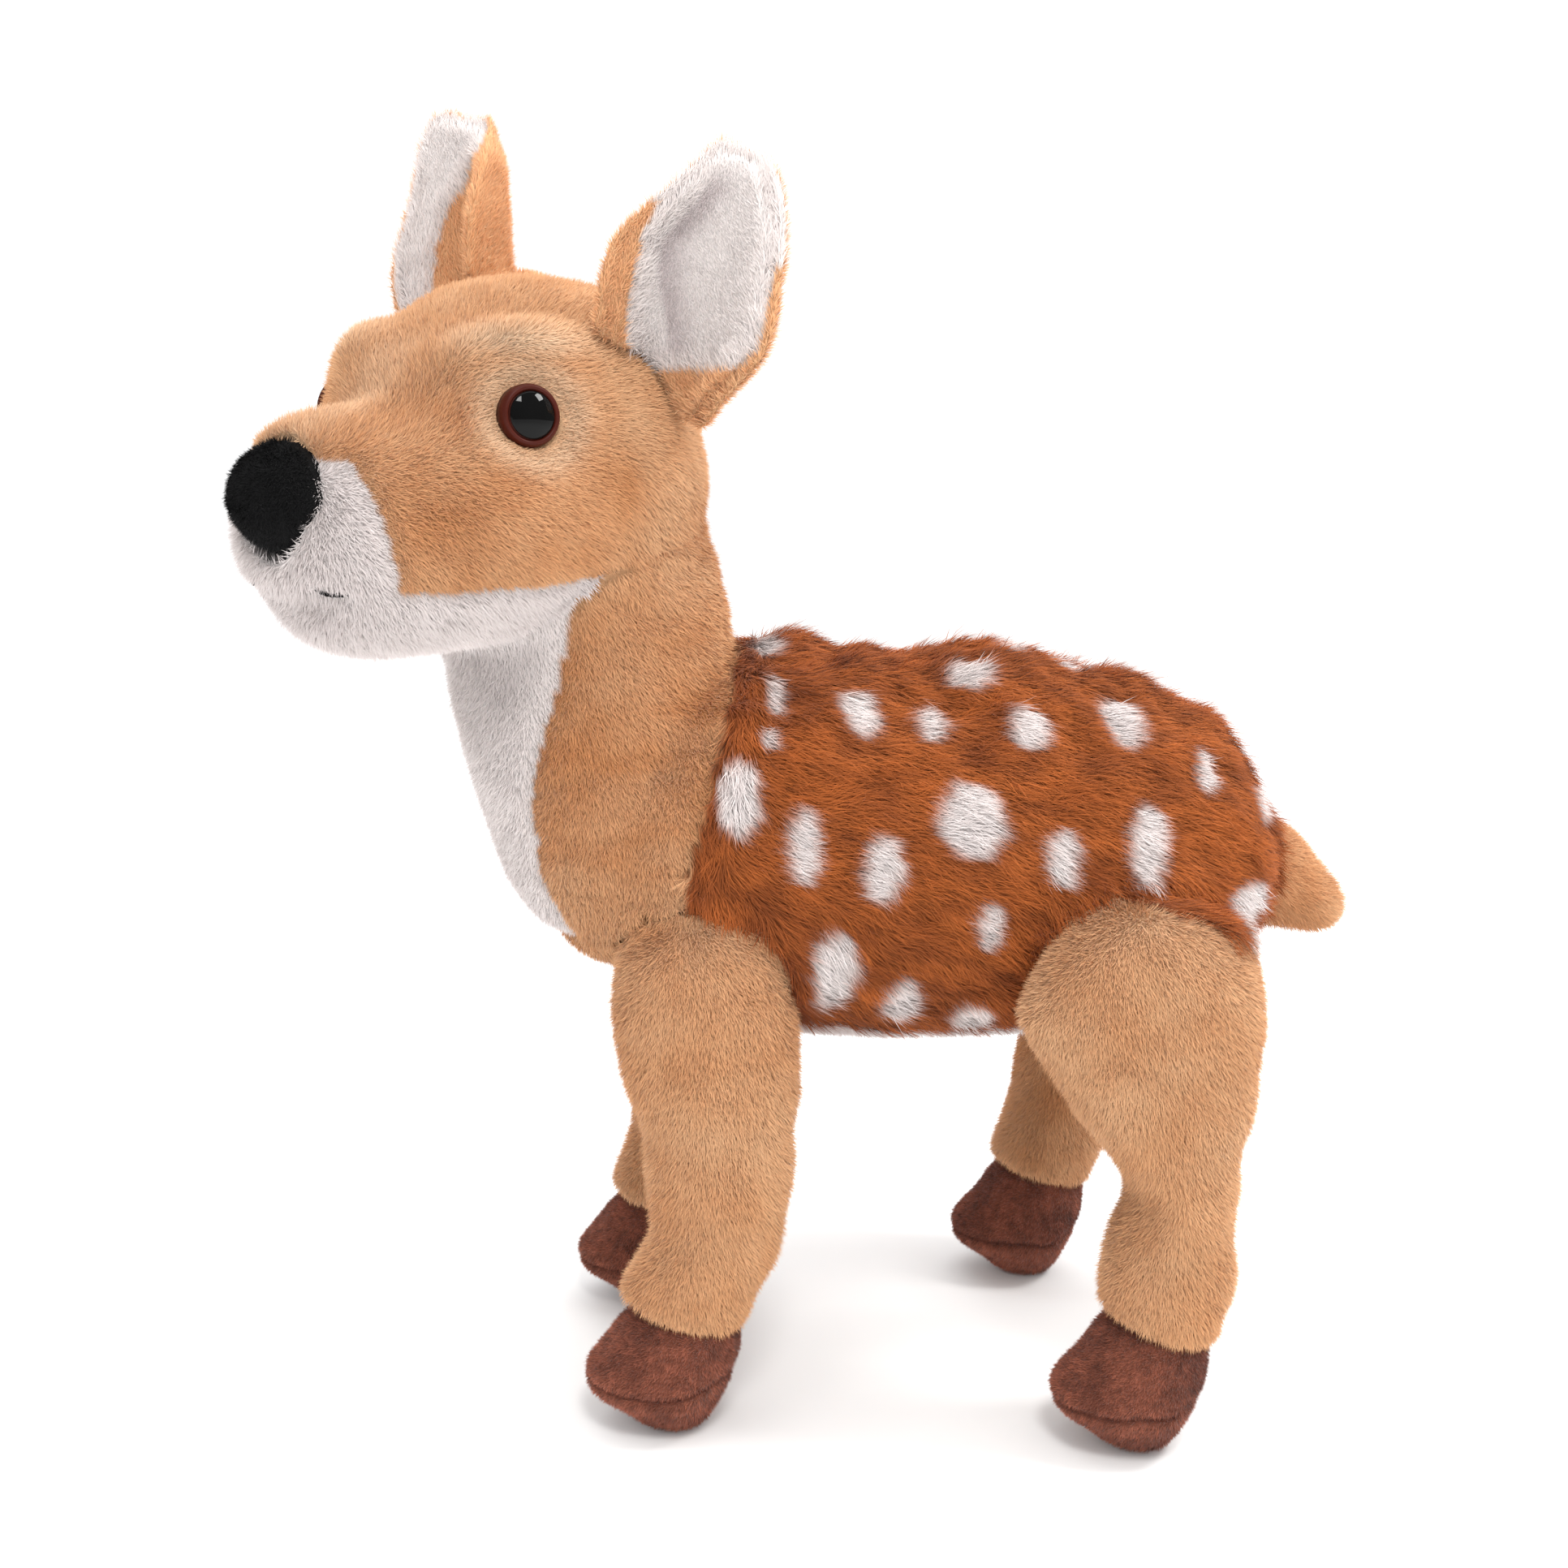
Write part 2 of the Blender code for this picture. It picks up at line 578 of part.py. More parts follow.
def ankle_frame(place, height, out):
    """Return the sloping plane where a hoof is sewn to its leg, with its Z axis up the leg."""
    slope = math.radians(ANKLE_SLOPE)
    rear = Vector((0.0, math.cos(slope), -math.sin(slope)))
    return frame_of((out, place, height), SIDE, rear)


def hoof_form(name, place, height, out, colour):
    """Add a hoof's form, from its sole to past the ankle, with the toe forward."""
    rows = []
    reach = place - HOOF_TOE + HOOF_LENGTH / 2.0
    for rise, shift, long, wide in HOOF_SHARES:
        middle = Vector((out, reach + shift * HOOF_LENGTH, rise * height - SOLE_FLAT_DEPTH))
        rows.append((middle, SIDE * wide * HOOF_WIDTH / 2.0, REAR * long * HOOF_LENGTH / 2.0))
    sole = Vector((out, reach, -SOLE_FLAT_DEPTH))
    top = rows[-1][0] + UP * OVERRUN
    return stuffed(name, rows, 10, (sole, top), colour)


def add_leg(corner, spec, side, carriers):
    """Add one leg with its hoof and sole on its swing axis, and seat it in what carries it."""
    radius, place, height, inner, outer, ankle_place, ankle_height, width, rows = spec
    stations, ends = leg_stations(*spec, side)
    leg = stuffed("leg_" + corner, stations, 10, ends, "tan")
    reach = TORSO_WIDTH
    out = side * (inner + outer) / 2.0
    low, high = sorted((0.0, side * inner))
    cut(leg, box("leg_flat_" + corner, (low, place - reach, 0.0), (high, place + reach, 2.0 * height)))
    ankle = ankle_frame(ankle_place, ankle_height, out)
    cut(leg, box("ankle_" + corner, (-reach, -reach, -reach), (reach, reach, GAP / 2.0), ankle))
    pocket_frame = frame_of((0.0, place, height), REAR, UP)
    low, high = sorted((side * (inner - GAP), side * reach))
    pocket = drum("pocket_" + corner, radius + SWING_GAP, low, high, pocket_frame, segments=24)
    for carrier in carriers:
        cut(carrier, pocket)

    hoof = hoof_form("hoof_" + corner, ankle_place, ankle_height, out, "hoof")
    cut(hoof, box("hoof_top_" + corner, (-reach, -reach, -GAP / 2.0), (reach, reach, reach), ankle))
    cut(hoof, box("hoof_foot_" + corner, (-reach, -reach, -reach),
                  (reach, reach + ankle_place, SOLE_HEIGHT + GAP)))
    sole = hoof_form("sole_" + corner, ankle_place, ankle_height, out, "hoof")
    cut(sole, box("sole_top_" + corner, (-reach, -reach, SOLE_HEIGHT),
                  (reach, reach + ankle_place, height)))
    cut(sole, box("sole_flat_" + corner, (-reach, -reach, -reach), (reach, reach + ankle_place, 0.0)))
    hang("swing_" + corner, pocket_frame, leg, hoof, sole)


# Ears
def ear_frame(side):
    """Return the frame of an ear's seam: X across the ear, Y up it, Z out of its hollow."""
    place, reach, rise, lean, facing = (
        (LEFT_EAR_PLACE, LEFT_EAR_OUT, LEFT_EAR_RISE, LEFT_EAR_LEAN, LEFT_EAR_FACING)
        if side > 0.0 else
        (RIGHT_EAR_PLACE, RIGHT_EAR_OUT, RIGHT_EAR_RISE, RIGHT_EAR_LEAN, RIGHT_EAR_FACING))
    lean, facing = math.radians(lean), math.radians(facing)
    out = LEFT * side
    up_ear = UP * math.cos(lean) + out * math.sin(lean)
    up_ear = (up_ear - FORWARD * math.tan(math.radians(EAR_BACK_LEAN))).normalized()
    hollow = FORWARD * math.cos(facing) + out * math.sin(facing)
    hollow = (hollow - up_ear * hollow.dot(up_ear)).normalized()
    seat = HEAD_FRAME @ Vector((place, side * reach, rise))
    return frame_of(seat, up_ear.cross(hollow), up_ear)


def ear_leaf(name, side, inset, offset, thickness, colour):
    """Add a rolled leaf: a grid shaped by the ear's outline, thickened and rounded."""
    rows = len(EAR_WIDTH_SHARES) - 1
    body = bmesh.new()
    bmesh.ops.create_grid(body, x_segments=EAR_LEAF_COLUMNS, y_segments=rows, size=1.0)
    length = EAR_LENGTH - 2.0 * inset
    shift = Vector((side * EAR_SEAM_OUT, -EAR_SEAM_RISE, 0.0))
    for vert in body.verts:
        across, along = vert.co.x, (vert.co.y + 1.0) / 2.0
        row = round(along * rows)
        half = EAR_WIDTH_SHARES[row] * EAR_WIDTH / 2.0
        roll = math.radians(EAR_FOLD_ROLL if across * side < 0.0 else EAR_CUP_ROLL)
        radius = half / (roll * EAR_ROLL_SHARES[row])
        turn = across * (half - inset) / radius
        reach = radius + offset
        vert.co = Vector((reach * math.sin(turn), inset + along * length,
                          radius - reach * math.cos(turn))) + shift
    mesh = bpy.data.meshes.new(name)
    body.to_mesh(mesh)
    body.free()
    mesh.transform(ear_frame(side))
    leaf = add_object(name, mesh, colour)
    step = leaf.modifiers.new("cloth", "SOLIDIFY")
    step.thickness = thickness
    step.offset = 0.0
    return soften(leaf)


def add_ear(label, side, head):
    """Add an ear, its white lining and its sewn root, and groove the head for the root."""
    middle = (EAR_THICKNESS + EAR_LINING) / 2.0 + GAP + EAR_LINING_EASE
    ear = ear_leaf("ear_" + label, side, 0.0, middle / 2.0, EAR_THICKNESS, "tan")
    lining = ear_leaf("ear_lining_" + label, side, EAR_LINING_MARGIN, -middle / 2.0, EAR_LINING,
                      "white")
    cut(ear, head_form("ear_room_" + label, EAR_SKIN_GAP))
    cut(lining, head_form("ear_lining_room_" + label, EAR_SKIN_GAP))
    slant = math.radians(-side * EAR_SEAM_ANGLE)
    bar = ear_frame(side) @ Matrix.Rotation(slant, 4, "Z") @ Matrix.Rotation(math.pi / 2.0, 4, "Y")
    half = EAR_ROOT_LENGTH / 2.0
    root = drum("ear_root_" + label, EAR_ROOT_DIAMETER / 2.0, -half, half, bar, segments=16)
    combine(ear, root, "UNION")
    groove = drum("ear_groove_" + label, EAR_ROOT_DIAMETER / 2.0 + SWING_GAP, -half - SWING_GAP,
                  half + SWING_GAP, bar, segments=16)
    cut(head, groove)
    cut(lining, drum("ear_root_room_" + label, EAR_ROOT_DIAMETER / 2.0 + GAP, -half - GAP,
                     half + GAP, bar, segments=16))
    return hang("fold_ear_" + label, bar, ear, lining)


# Eyes
def eye_frame(side):
    """Return an eye's frame, with Z looking out of the head."""
    turn, rise = math.radians(EYE_FORWARD_TURN), math.radians(EYE_RISE)
    out = (LEFT * side * math.cos(turn) + FORWARD * math.sin(turn)) * math.cos(rise) \
        + UP * math.sin(rise)
    seat = HEAD_FRAME @ Vector((EYE_PLACE, side * EYE_OUT, EYE_DROP))
    across = UP.cross(out)
    return frame_of(seat, across, out.cross(across))


def eye_profile(grow):
    """Return the profile of a safety eye: a dome on a shank."""
    radius, shank = EYE_DIAMETER / 2.0 + grow, EYE_SHANK_DIAMETER / 2.0 + grow
    dome = [(radius * math.cos(math.radians(a)), (EYE_DOME_HEIGHT + grow) * math.sin(math.radians(a)))
            for a in (67.0, 45.0, 22.0, 0.0)]
    rim = EYE_DIAMETER / 12.0 + grow
    return [(0.0, EYE_DOME_HEIGHT + grow)] + dome + [
        (radius, -rim), (shank, -rim), (shank, -EYE_SHANK_LENGTH - grow),
        (0.0, -EYE_SHANK_LENGTH - grow)]


def add_eye(label, side, head):
    """Add a safety eye and the lock washer on its shank inside the head."""
    frame = eye_frame(side)
    eye = turned("eye_" + label, eye_profile(0.0), frame, 18, "eye")
    low = -WASHER_DEPTH - WASHER_THICKNESS
    bore = EYE_SHANK_DIAMETER / 2.0 + GAP
    ring = [(WASHER_DIAMETER / 2.0, -WASHER_DEPTH), (WASHER_DIAMETER / 2.0, low), (bore, low),
            (bore, -WASHER_DEPTH), (WASHER_DIAMETER / 2.0, -WASHER_DEPTH)]
    washer = turned("washer_" + label, ring, frame, 16, "washer")
    cut(head, turned("eye_seat_" + label, eye_profile(GAP), frame))
    cut(head, drum("washer_seat_" + label, WASHER_DIAMETER / 2.0 + GAP, low - GAP,
                   -WASHER_DEPTH + GAP, frame, segments=16))
    return eye, washer


# Tail
def add_tail(carriers):
    """Add the tail, which tapers from a round root in the rump."""
    droop = math.radians(TAIL_DROOP)
    axis = Vector((0.0, math.cos(droop), -math.sin(droop)))
    up = Vector((0.0, math.sin(droop), math.cos(droop)))
    root = Vector((0.0, TAIL_ROOT_PLACE, TAIL_ROOT_HEIGHT))
    radius = TAIL_ROOT_DIAMETER / 2.0
    rows = [(root + axis * radius * math.cos(math.radians(a)),
             SIDE * radius * math.sin(math.radians(a)), up * radius * math.sin(math.radians(a)))
            for a in (145.0, 108.0)]
    for along, _, wide, tall in TAIL_SHARES:
        rows.append((root + axis * along * TAIL_LENGTH, SIDE * wide * radius, up * tall * radius))
    ends = (root - axis * radius, root + axis * TAIL_LENGTH)
    stuffed("tail", rows, 10, ends, "tan", root)
    room = ball("tail_room", (radius + SWING_GAP,) * 3, Matrix.Translation(root), None, 20, 12)
    for carrier in carriers:
        cut(carrier, room)


# Nose and mouth
def add_nose(carriers):
    """Add the black nose and its seat in the muzzle."""
    place = HEAD_FRAME @ Matrix.Translation((NOSE_PLACE, 0.0, NOSE_DROP))
    half = (NOSE_THICKNESS / 2.0, NOSE_WIDTH / 2.0, NOSE_HEIGHT / 2.0)
    nose = ball("nose", half, place, "black", 16, 10)
    room = ball("nose_room", [size + GAP for size in half], place, None, 16, 10)
    for carrier in carriers:
        cut(carrier, room)
    return nose


def add_stitch(label, side, muzzle):
    """Add one short black stitch of the mouth, sunk half into the muzzle."""
    yaw = math.radians(STITCH_YAW)
    along = FORWARD * -math.cos(yaw) + LEFT * side * math.sin(yaw)
    seat = HEAD_FRAME @ Vector((STITCH_PLACE, side * STITCH_OUT, STITCH_DROP))
    place = frame_of(seat, UP, along.cross(UP))
    half, radius = STITCH_LENGTH / 2.0, STITCH_DIAMETER / 2.0
    stitch = drum("mouth_stitch_" + label, radius, -half, half, place, 10, "black")
    cut(muzzle, drum("stitch_groove_" + label, radius + GAP, -half - GAP, half + GAP, place, 10))
    return stitch


# Assembly
torso = torso_form("torso", 0.0, "tan")
neck = neck_form("neck", 0.0, "tan")
collar_top = box("collar_top", (-TORSO_WIDTH, -TORSO_WIDTH, 0.0),
                 (TORSO_WIDTH, TORSO_WIDTH, TORSO_WIDTH), NECK_FRAME)
cut(neck, collar_top)
head = head_form("head", 0.0, "tan")

saddle = inset_panel("saddle", "rust", torso_form, saddle_region, torso)
cut(saddle, belly_region("saddle_belly_room", GAP))
belly = inset_panel("belly", "white", torso_form, belly_region, torso)
bib = inset_panel("bib", "white", neck_form, bib_region, neck)
muzzle = inset_panel("muzzle", "white", head_form, muzzle_region, head)

chest_room = torso_form("chest_room", GAP)
cut(bib, collar_top, chest_room)
cut(neck, chest_room)
spigot = turned("spigot", spigot_dome(0.0) + [(SPIGOT_DIAMETER / 2.0, -OVERRUN), (0.0, -OVERRUN)],
                NECK_FRAME, 20)
combine(neck, spigot, "UNION")

neck_room = neck_sweep("neck_room", SWING_GAP)
for piece in (head, muzzle):
    cut(piece, neck_room)

on_head = [head, muzzle, add_nose((head, muzzle))]
for label, side, front_step, hind_step in (("left", 1.0, 0.0, 0.0),
                                           ("right", -1.0, FRONT_STEP_LENGTH, HIND_STEP_LENGTH)):
    front = (SHOULDER_RADIUS, SHOULDER_PLACE, SHOULDER_HEIGHT, FRONT_INNER_OUT, FRONT_OUTER_OUT,
             FRONT_ANKLE_PLACE - front_step, FRONT_ANKLE_HEIGHT, FRONT_LEG_WIDTH, FRONT_LEG_SHARES)
    hind = (HIP_RADIUS, HIP_PLACE, HIP_HEIGHT, HIND_INNER_OUT, HIND_OUTER_OUT,
            HIND_ANKLE_PLACE - hind_step, HIND_ANKLE_HEIGHT, HIND_LEG_WIDTH, HIND_LEG_SHARES)
    add_leg("front_" + label, front, side, (torso, neck, saddle, belly, bib))
    add_leg("hind_" + label, hind, side, (torso, saddle, belly))
    on_head.append(add_ear(label, side, head))
    on_head += add_eye(label, side, head)
    on_head.append(add_stitch(label, side, muzzle))
hang("turn_head", NECK_FRAME, *on_head)

add_tail((torso, saddle))
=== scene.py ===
"""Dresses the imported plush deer: stuffed skins, combed pile, safety eyes, thread and a small studio."""
import math

import bmesh
import bpy
import numpy as np
from mathutils import Matrix, Vector, noise
from mathutils.bvhtree import BVHTree
from mathutils.kdtree import KDTree


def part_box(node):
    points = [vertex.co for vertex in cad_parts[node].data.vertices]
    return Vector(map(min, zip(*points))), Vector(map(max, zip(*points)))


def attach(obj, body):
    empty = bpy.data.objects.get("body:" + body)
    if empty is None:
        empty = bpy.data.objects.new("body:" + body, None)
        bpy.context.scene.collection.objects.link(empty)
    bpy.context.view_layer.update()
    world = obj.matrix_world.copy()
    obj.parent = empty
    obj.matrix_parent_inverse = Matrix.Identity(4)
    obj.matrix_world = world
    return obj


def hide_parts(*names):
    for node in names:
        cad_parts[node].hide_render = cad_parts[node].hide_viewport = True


bl_info = {
    "name": "Plush deer",
    "version": (1, 0, 0),
    "blender": (4, 5, 0),
    "location": "View3D > Sidebar > Plush deer",
    "description": "Makes the skins, pile, eyes and stage of a spotted plush deer",
    "category": "Object",
}

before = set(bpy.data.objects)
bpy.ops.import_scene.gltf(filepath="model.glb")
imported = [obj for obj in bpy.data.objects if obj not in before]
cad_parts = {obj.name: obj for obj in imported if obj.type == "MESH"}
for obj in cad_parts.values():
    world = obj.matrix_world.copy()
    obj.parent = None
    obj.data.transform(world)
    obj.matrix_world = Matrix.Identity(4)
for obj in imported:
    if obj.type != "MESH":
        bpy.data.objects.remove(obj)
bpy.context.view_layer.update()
MM = 0.001
BODY_PANELS = ("torso", "neck", "saddle", "belly", "bib")
HEAD_PANELS = ("head", "muzzle")
CORNERS = ("front_left", "front_right", "hind_left", "hind_right")
STUFFED = {"torso": BODY_PANELS, "head": HEAD_PANELS, "tail": ("tail",)}
STUFFED.update(("leg_" + corner, ("leg_" + corner,)) for corner in CORNERS)
SHARED_STRIP = 0.0010           # how far two skins lie over each other where they meet
THROAT_STRIP = 0.0010           # how much further they do so under the throat
EASING_ROUNDS = 70              # how softly the pieces run into one another
NAPE_ROUNDS = 160               # further rounds where the head runs into the neck
FORM_GRID = 0.0020              # size of a face of the whole form
EASED_BESIDE = (0.020, 0.008)   # distance to a neighbour where the easing starts and where it is full
THROAT_HOLD = 0.8               # share of the easing that the throat is spared
LEAST_RISE = -0.0006            # how far the easing may sink the form
MEET_REACH, MEET_FULL = 0.020, 0.010    # a neighbour this near draws a skin over, and fully so
FORM_GAP = 0.0095               # a vertex further than this from the whole form is covered
FORM_FACING = 0.15              # how far a vertex has to face the whole form's way
STRIP_SINK = 0.0004             # how deep the lower of two skins lies in a shared strip
HEM_SINK = 0.0002               # how deep a thigh's skin lies under the saddle's hem
HEM_STEP = 0.0005               # half width of the step at the hem's edge
REAR_HALF = 0.02                # behind this place the trunk's skin leads over the thighs
REAR_LEAD = 0.0016              # by this much
LIFT_OFF = 1e-5                 # where a ray starts, off the skin
TOUCHING = 0.0006               # pieces nearer than this touch
BACKING_SHADE = 0.75            # painted shade: how dark the cloth is under its pile
THIN_BACKING_SHADE = 0.8        # and the lighter painted shade under the thinner pile of the ears and hooves
LIVELY = 0.35                   # how much the length of the plush and the velour varies
SIDES = (("left", 1.0), ("right", -1.0))


# Sizes and colours that a user may change
def colour(name, text, default):
    """Return a colour property."""
    return bpy.props.FloatVectorProperty(name=name, description=text, subtype="COLOR", size=3,
                                         min=0.0, max=1.0, default=default)


def length(name, text, default):
    """Return a length property, in metres."""
    return bpy.props.FloatProperty(name=name, description=text, unit="LENGTH", min=0.0,
                                   precision=4, default=default)


def number(name, text, default, low=0.0, high=100.0):
    """Return a plain number property."""
    return bpy.props.FloatProperty(name=name, description=text, min=low, max=high, default=default)


class DeerColours(bpy.types.PropertyGroup):
    """Colours of the cloth, thread and plastic."""
    tan: colour("Tan", "Short plush of the head, neck, legs and tail", (0.78, 0.47, 0.26))
    tan_deep: colour("Deep tan", "Darker tan of the cheeks and the chest", (0.67, 0.31, 0.125))
    # Pale tan is the pale fur round the eyes, and also the painted highlight on the brow ridges
    tan_pale: colour("Pale tan", "Brow ridges and the fur round the eyes", (0.86, 0.63, 0.43))
    white: colour("White", "Muzzle, bib, belly, ear hollows and spots", (0.80, 0.735, 0.72))
    # The lining is set brighter than the white plush: partly its own white, partly painted light for light
    # shining through the thin ears
    lining: colour("Lining", "White lining of the ears", (0.96, 0.90, 0.88))
    hollow: colour("Hollow", "Shaded fold deep in the ears", (0.66, 0.57, 0.57))
    rust: colour("Rust", "Pile of the saddle", (0.465, 0.122, 0.0245))
    rust_deep: colour("Deep rust", "Creases and roots of the saddle's pile", (0.22, 0.052, 0.012))
    hoof: colour("Hoof", "Velour of the hooves", (0.325, 0.104, 0.061))
    hoof_deep: colour("Dark hoof", "Brushed-over patches of the velour", (0.13, 0.040, 0.026))
    black: colour("Black", "Nose pile and thread", (0.0045, 0.0045, 0.005))
    rim: colour("Eye rim", "Brown ring of the safety eyes", (0.060, 0.0085, 0.004))


class DeerPile(bpy.types.PropertyGroup):
    """Sizes of the pile and of the skins that carry it."""
    short: length("Short pile", "Length of the tan and white pile", 0.0022)
    long: length("Long pile", "Length of the saddle's pile", 0.0058)
    fringe: length("Ear fringe", "Length of the white pile at the ears' rims", 0.0026)
    velour: length("Velour", "Length of the hooves' pile", 0.0012)
    nose: length("Nose pile", "Length of the nose's pile", 0.0012)
    width: length("Strand width", "Width of a short strand at its root", 0.00024)
    long_width: length("Long strand width", "Width of a long strand at its root", 0.00017)
    per_mm: number("Strands", "Short strands on a square millimetre", 8.5)
    long_per_mm: number("Long strands", "Long strands on a square millimetre", 8.5)
    grid: length("Skin grid", "Size of a face of the skins", 0.0015)
    seam_depth: length("Seam depth", "How far a seam draws the skins in", 0.0010)
    seam_width: length("Seam width", "Half width of a seam's hollow", 0.0018)


class DeerStage(bpy.types.PropertyGroup):
    """Camera and light."""
    focal: bpy.props.FloatProperty(name="Focal length", description="Of the camera",
                                   unit="CAMERA", min=10.0, default=43.43)
    key: bpy.props.FloatProperty(name="Key light", description="Power of the large soft light",
                                 unit="POWER", min=0.0, default=4.5)
    fill: bpy.props.FloatProperty(name="Fill light", description="Power of the fill light",
                                  unit="POWER", min=0.0, default=4.6)
    sky: number("Sky", "Strength of the even light all round", 1.12)


# Small helpers
def settings():
    """Return the colours, the pile sizes and the stage's settings."""
    scene = bpy.context.scene
    return scene.deer_colours, scene.deer_pile, scene.deer_stage


def link(name, mesh):
    """Make an object in the scene from a mesh."""
    thing = bpy.data.objects.new(name, mesh)
    bpy.context.scene.collection.objects.link(thing)
    return thing


def forget(*things):
    """Delete working objects."""
    for thing in things:
        bpy.data.objects.remove(thing, do_unlink=True)


def made(thing):
    """Return a plain mesh of an object with its modifiers."""
    bpy.context.view_layer.update()
    graph = bpy.context.evaluated_depsgraph_get()
    return bpy.data.meshes.new_from_object(thing.evaluated_get(graph),
                                           preserve_all_data_layers=True, depsgraph=graph)


def numbers(mesh, key="co"):
    """Return the vertices' places, or their normals, as an array."""
    count = len(mesh.vertices)
    values = np.empty(count * 3, np.float32)
    if key == "co":
        mesh.vertices.foreach_get("co", values)
    else:
        mesh.vertex_normals.foreach_get("vector", values)
    return values.reshape(count, 3).astype(float)


def place_all(mesh, places):
    """Move every vertex of a mesh."""
    mesh.vertices.foreach_set("co", places.astype(np.float32).ravel())
    mesh.update()


def write(mesh, name, values, kind="FLOAT"):
    """Store a value for each vertex."""
    old = mesh.attributes.get(name)
    if old:
        mesh.attributes.remove(old)
    layer = mesh.attributes.new(name, kind, "POINT")
    key = {"FLOAT": "value", "FLOAT_VECTOR": "vector", "FLOAT_COLOR": "color"}[kind]
    if kind == "FLOAT_COLOR":
        values = np.concatenate([values, np.ones((len(values), 1))], 1)
    layer.data.foreach_set(key, np.ascontiguousarray(values, np.float32).ravel())


def grain(places, size, seed, octaves=2):
    """Return smooth noise from about -1 to 1 at each place, with bumps of the given size."""
    shift = Vector((seed * 7.31, seed * 3.17, seed * 5.71))
    total, gain = np.zeros(len(places)), 1.0
    for octave in range(octaves):
        step = 2.0 ** octave / size
        total += gain * np.array([noise.noise(Vector(p) * step + shift) for p in places])
        gain *= 0.5
    return total * 1.3


def smooth(low, high, values):
    """Return 0 under low and 1 over high, with a smooth step between."""
    t = np.clip((values - low) / (high - low), 0.0, 1.0)
    return t * t * (3.0 - 2.0 * t)


def bell(values, middle, spread):
    """Return 1 at the middle of a bell curve and 0 far from it."""
    return np.exp(-((values - middle) / spread) ** 2)


def mound(places, middle, spread):
    """Return 1 at the middle of a soft mound with a spread along each axis, and 0 far from it."""
    return np.exp(-(((places - middle) / spread) ** 2).sum(1))


def band(values, low, full, fade, high):
    """Return 1 from full to fade and 0 under low and over high."""
    return smooth(low, full, values) * smooth(high, fade, values)


def drift(places, size, seed):
    """Return smooth noise along each axis."""
    return np.stack([grain(places, size, seed + axis) for axis in range(3)], 1)


def along_table(values, table):
    """Look values up in a table of pairs."""
    return np.interp(values, [at for at, _ in table], [value for _, value in table])


def mixed(first, second, share):
    """Mix two colours, or two arrays of them, by a share at each place."""
    share = np.asarray(share)[:, None]
    return np.asarray(first) * (1.0 - share) + np.asarray(second) * share


def solid_of(*nodes):
    """Return a merged bmesh of CAD nodes."""
    body = bmesh.new()
    for node in nodes:
        body.from_mesh(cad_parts[node].data)
    bmesh.ops.remove_doubles(body, verts=body.verts, dist=1e-6)
    return body


def tree_of(mesh):
    """Return a search tree over a mesh."""
    body = bmesh.new()
    body.from_mesh(mesh)
    found = BVHTree.FromBMesh(body)
    body.free()
    return found


def finder(*nodes):
    """Return a search tree over CAD nodes."""
    body = solid_of(*nodes)
    found = BVHTree.FromBMesh(body)
    body.free()
    return found


def reach_of(tree, places):
    """Return how far each place is from the surface in a search tree."""
    return np.array([tree.find_nearest(Vector(place))[3] for place in places])


def cad_places(node):
    """Return the places of a CAD node's vertices."""
    return np.array([vertex.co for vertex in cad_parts[node].data.vertices])


def edges_of(mesh):
    """Return the two vertices of every edge."""
    ends = np.empty(len(mesh.edges) * 2, np.int32)
    mesh.edges.foreach_get("vertices", ends)
    return ends.reshape(-1, 2)


def outer_shell(mesh):
    """Keep only the largest closed shell of a mesh."""
    body = bmesh.new()
    body.from_mesh(mesh)
    body.verts.ensure_lookup_table()
    seen, shells = set(), []
    for start in body.verts:
        if start.index in seen:
            continue
        seen.add(start.index)
        shell, queue = [], [start]
        while queue:
            vert = queue.pop()
            shell.append(vert)
            for edge in vert.link_edges:
                other = edge.other_vert(vert)
                if other.index not in seen:
                    seen.add(other.index)
                    queue.append(other)
        shells.append(shell)
    shells.sort(key=len)
    for shell in shells[:-1]:
        bmesh.ops.delete(body, geom=shell, context="VERTS")
    body.to_mesh(mesh)
    body.free()
    return mesh


def knitted(name, nodes, grid, ease=6):
    """Return a new object: one even skin over CAD nodes, eased into a soft form."""
    body = solid_of(*nodes)
    mesh = bpy.data.meshes.new(name)
    body.to_mesh(mesh)
    body.free()
    thing = link(name, mesh)
    step = thing.modifiers.new("skin", "REMESH")
    step.mode = "VOXEL"
    step.voxel_size = grid
    step.use_smooth_shade = True
    step = thing.modifiers.new("ease", "SMOOTH")
    step.factor = 0.5
    step.iterations = ease
    skin = outer_shell(made(thing))
    thing.modifiers.clear()
    thing.data = skin
    bpy.data.meshes.remove(mesh)
    return thing


def panel_of(mesh, nodes, wobble, seed):
    """Return, for each vertex, which CAD node it belongs to, with borders that wander a little."""
    places = numbers(mesh)
    asked = places + wobble * drift(places, 0.006, seed)
    return np.array([reach_of(finder(node), asked) for node in nodes]).argmin(0)


def edge_distance(mesh, panels):
    """Return how far each vertex is from the nearest border between panels."""
    ends = edges_of(mesh)
    border = np.unique(ends[panels[ends[:, 0]] != panels[ends[:, 1]]])
    places = numbers(mesh)
    tree = KDTree(len(border))
    for i, index in enumerate(border):
        tree.insert(places[index], i)
    tree.balance()
    return np.array([tree.find(place)[2] for place in places])


def head_stretch(local, steps):
    """Return 1 in a stretch of the head's own frame, given by a step ahead and a step upwards."""
    ahead, upwards = steps
    return smooth(*ahead, local[:, 0]) * smooth(*upwards, local[:, 2])


WHOLE = {}
# Where the form is filled out further: depth, middle and spread
FILLS = (
    (0.0008, (0.009, -0.0300, 0.1975), (0.022, 0.012, 0.010)),
    (0.0048, (0.044, 0.0840, 0.1165), (0.016, 0.009, 0.010)),
    (0.0048, (-0.044, 0.0840, 0.1165), (0.016, 0.009, 0.010)),
    (0.0030, (0.000, 0.1120, 0.1320), (0.014, 0.009, 0.008)))
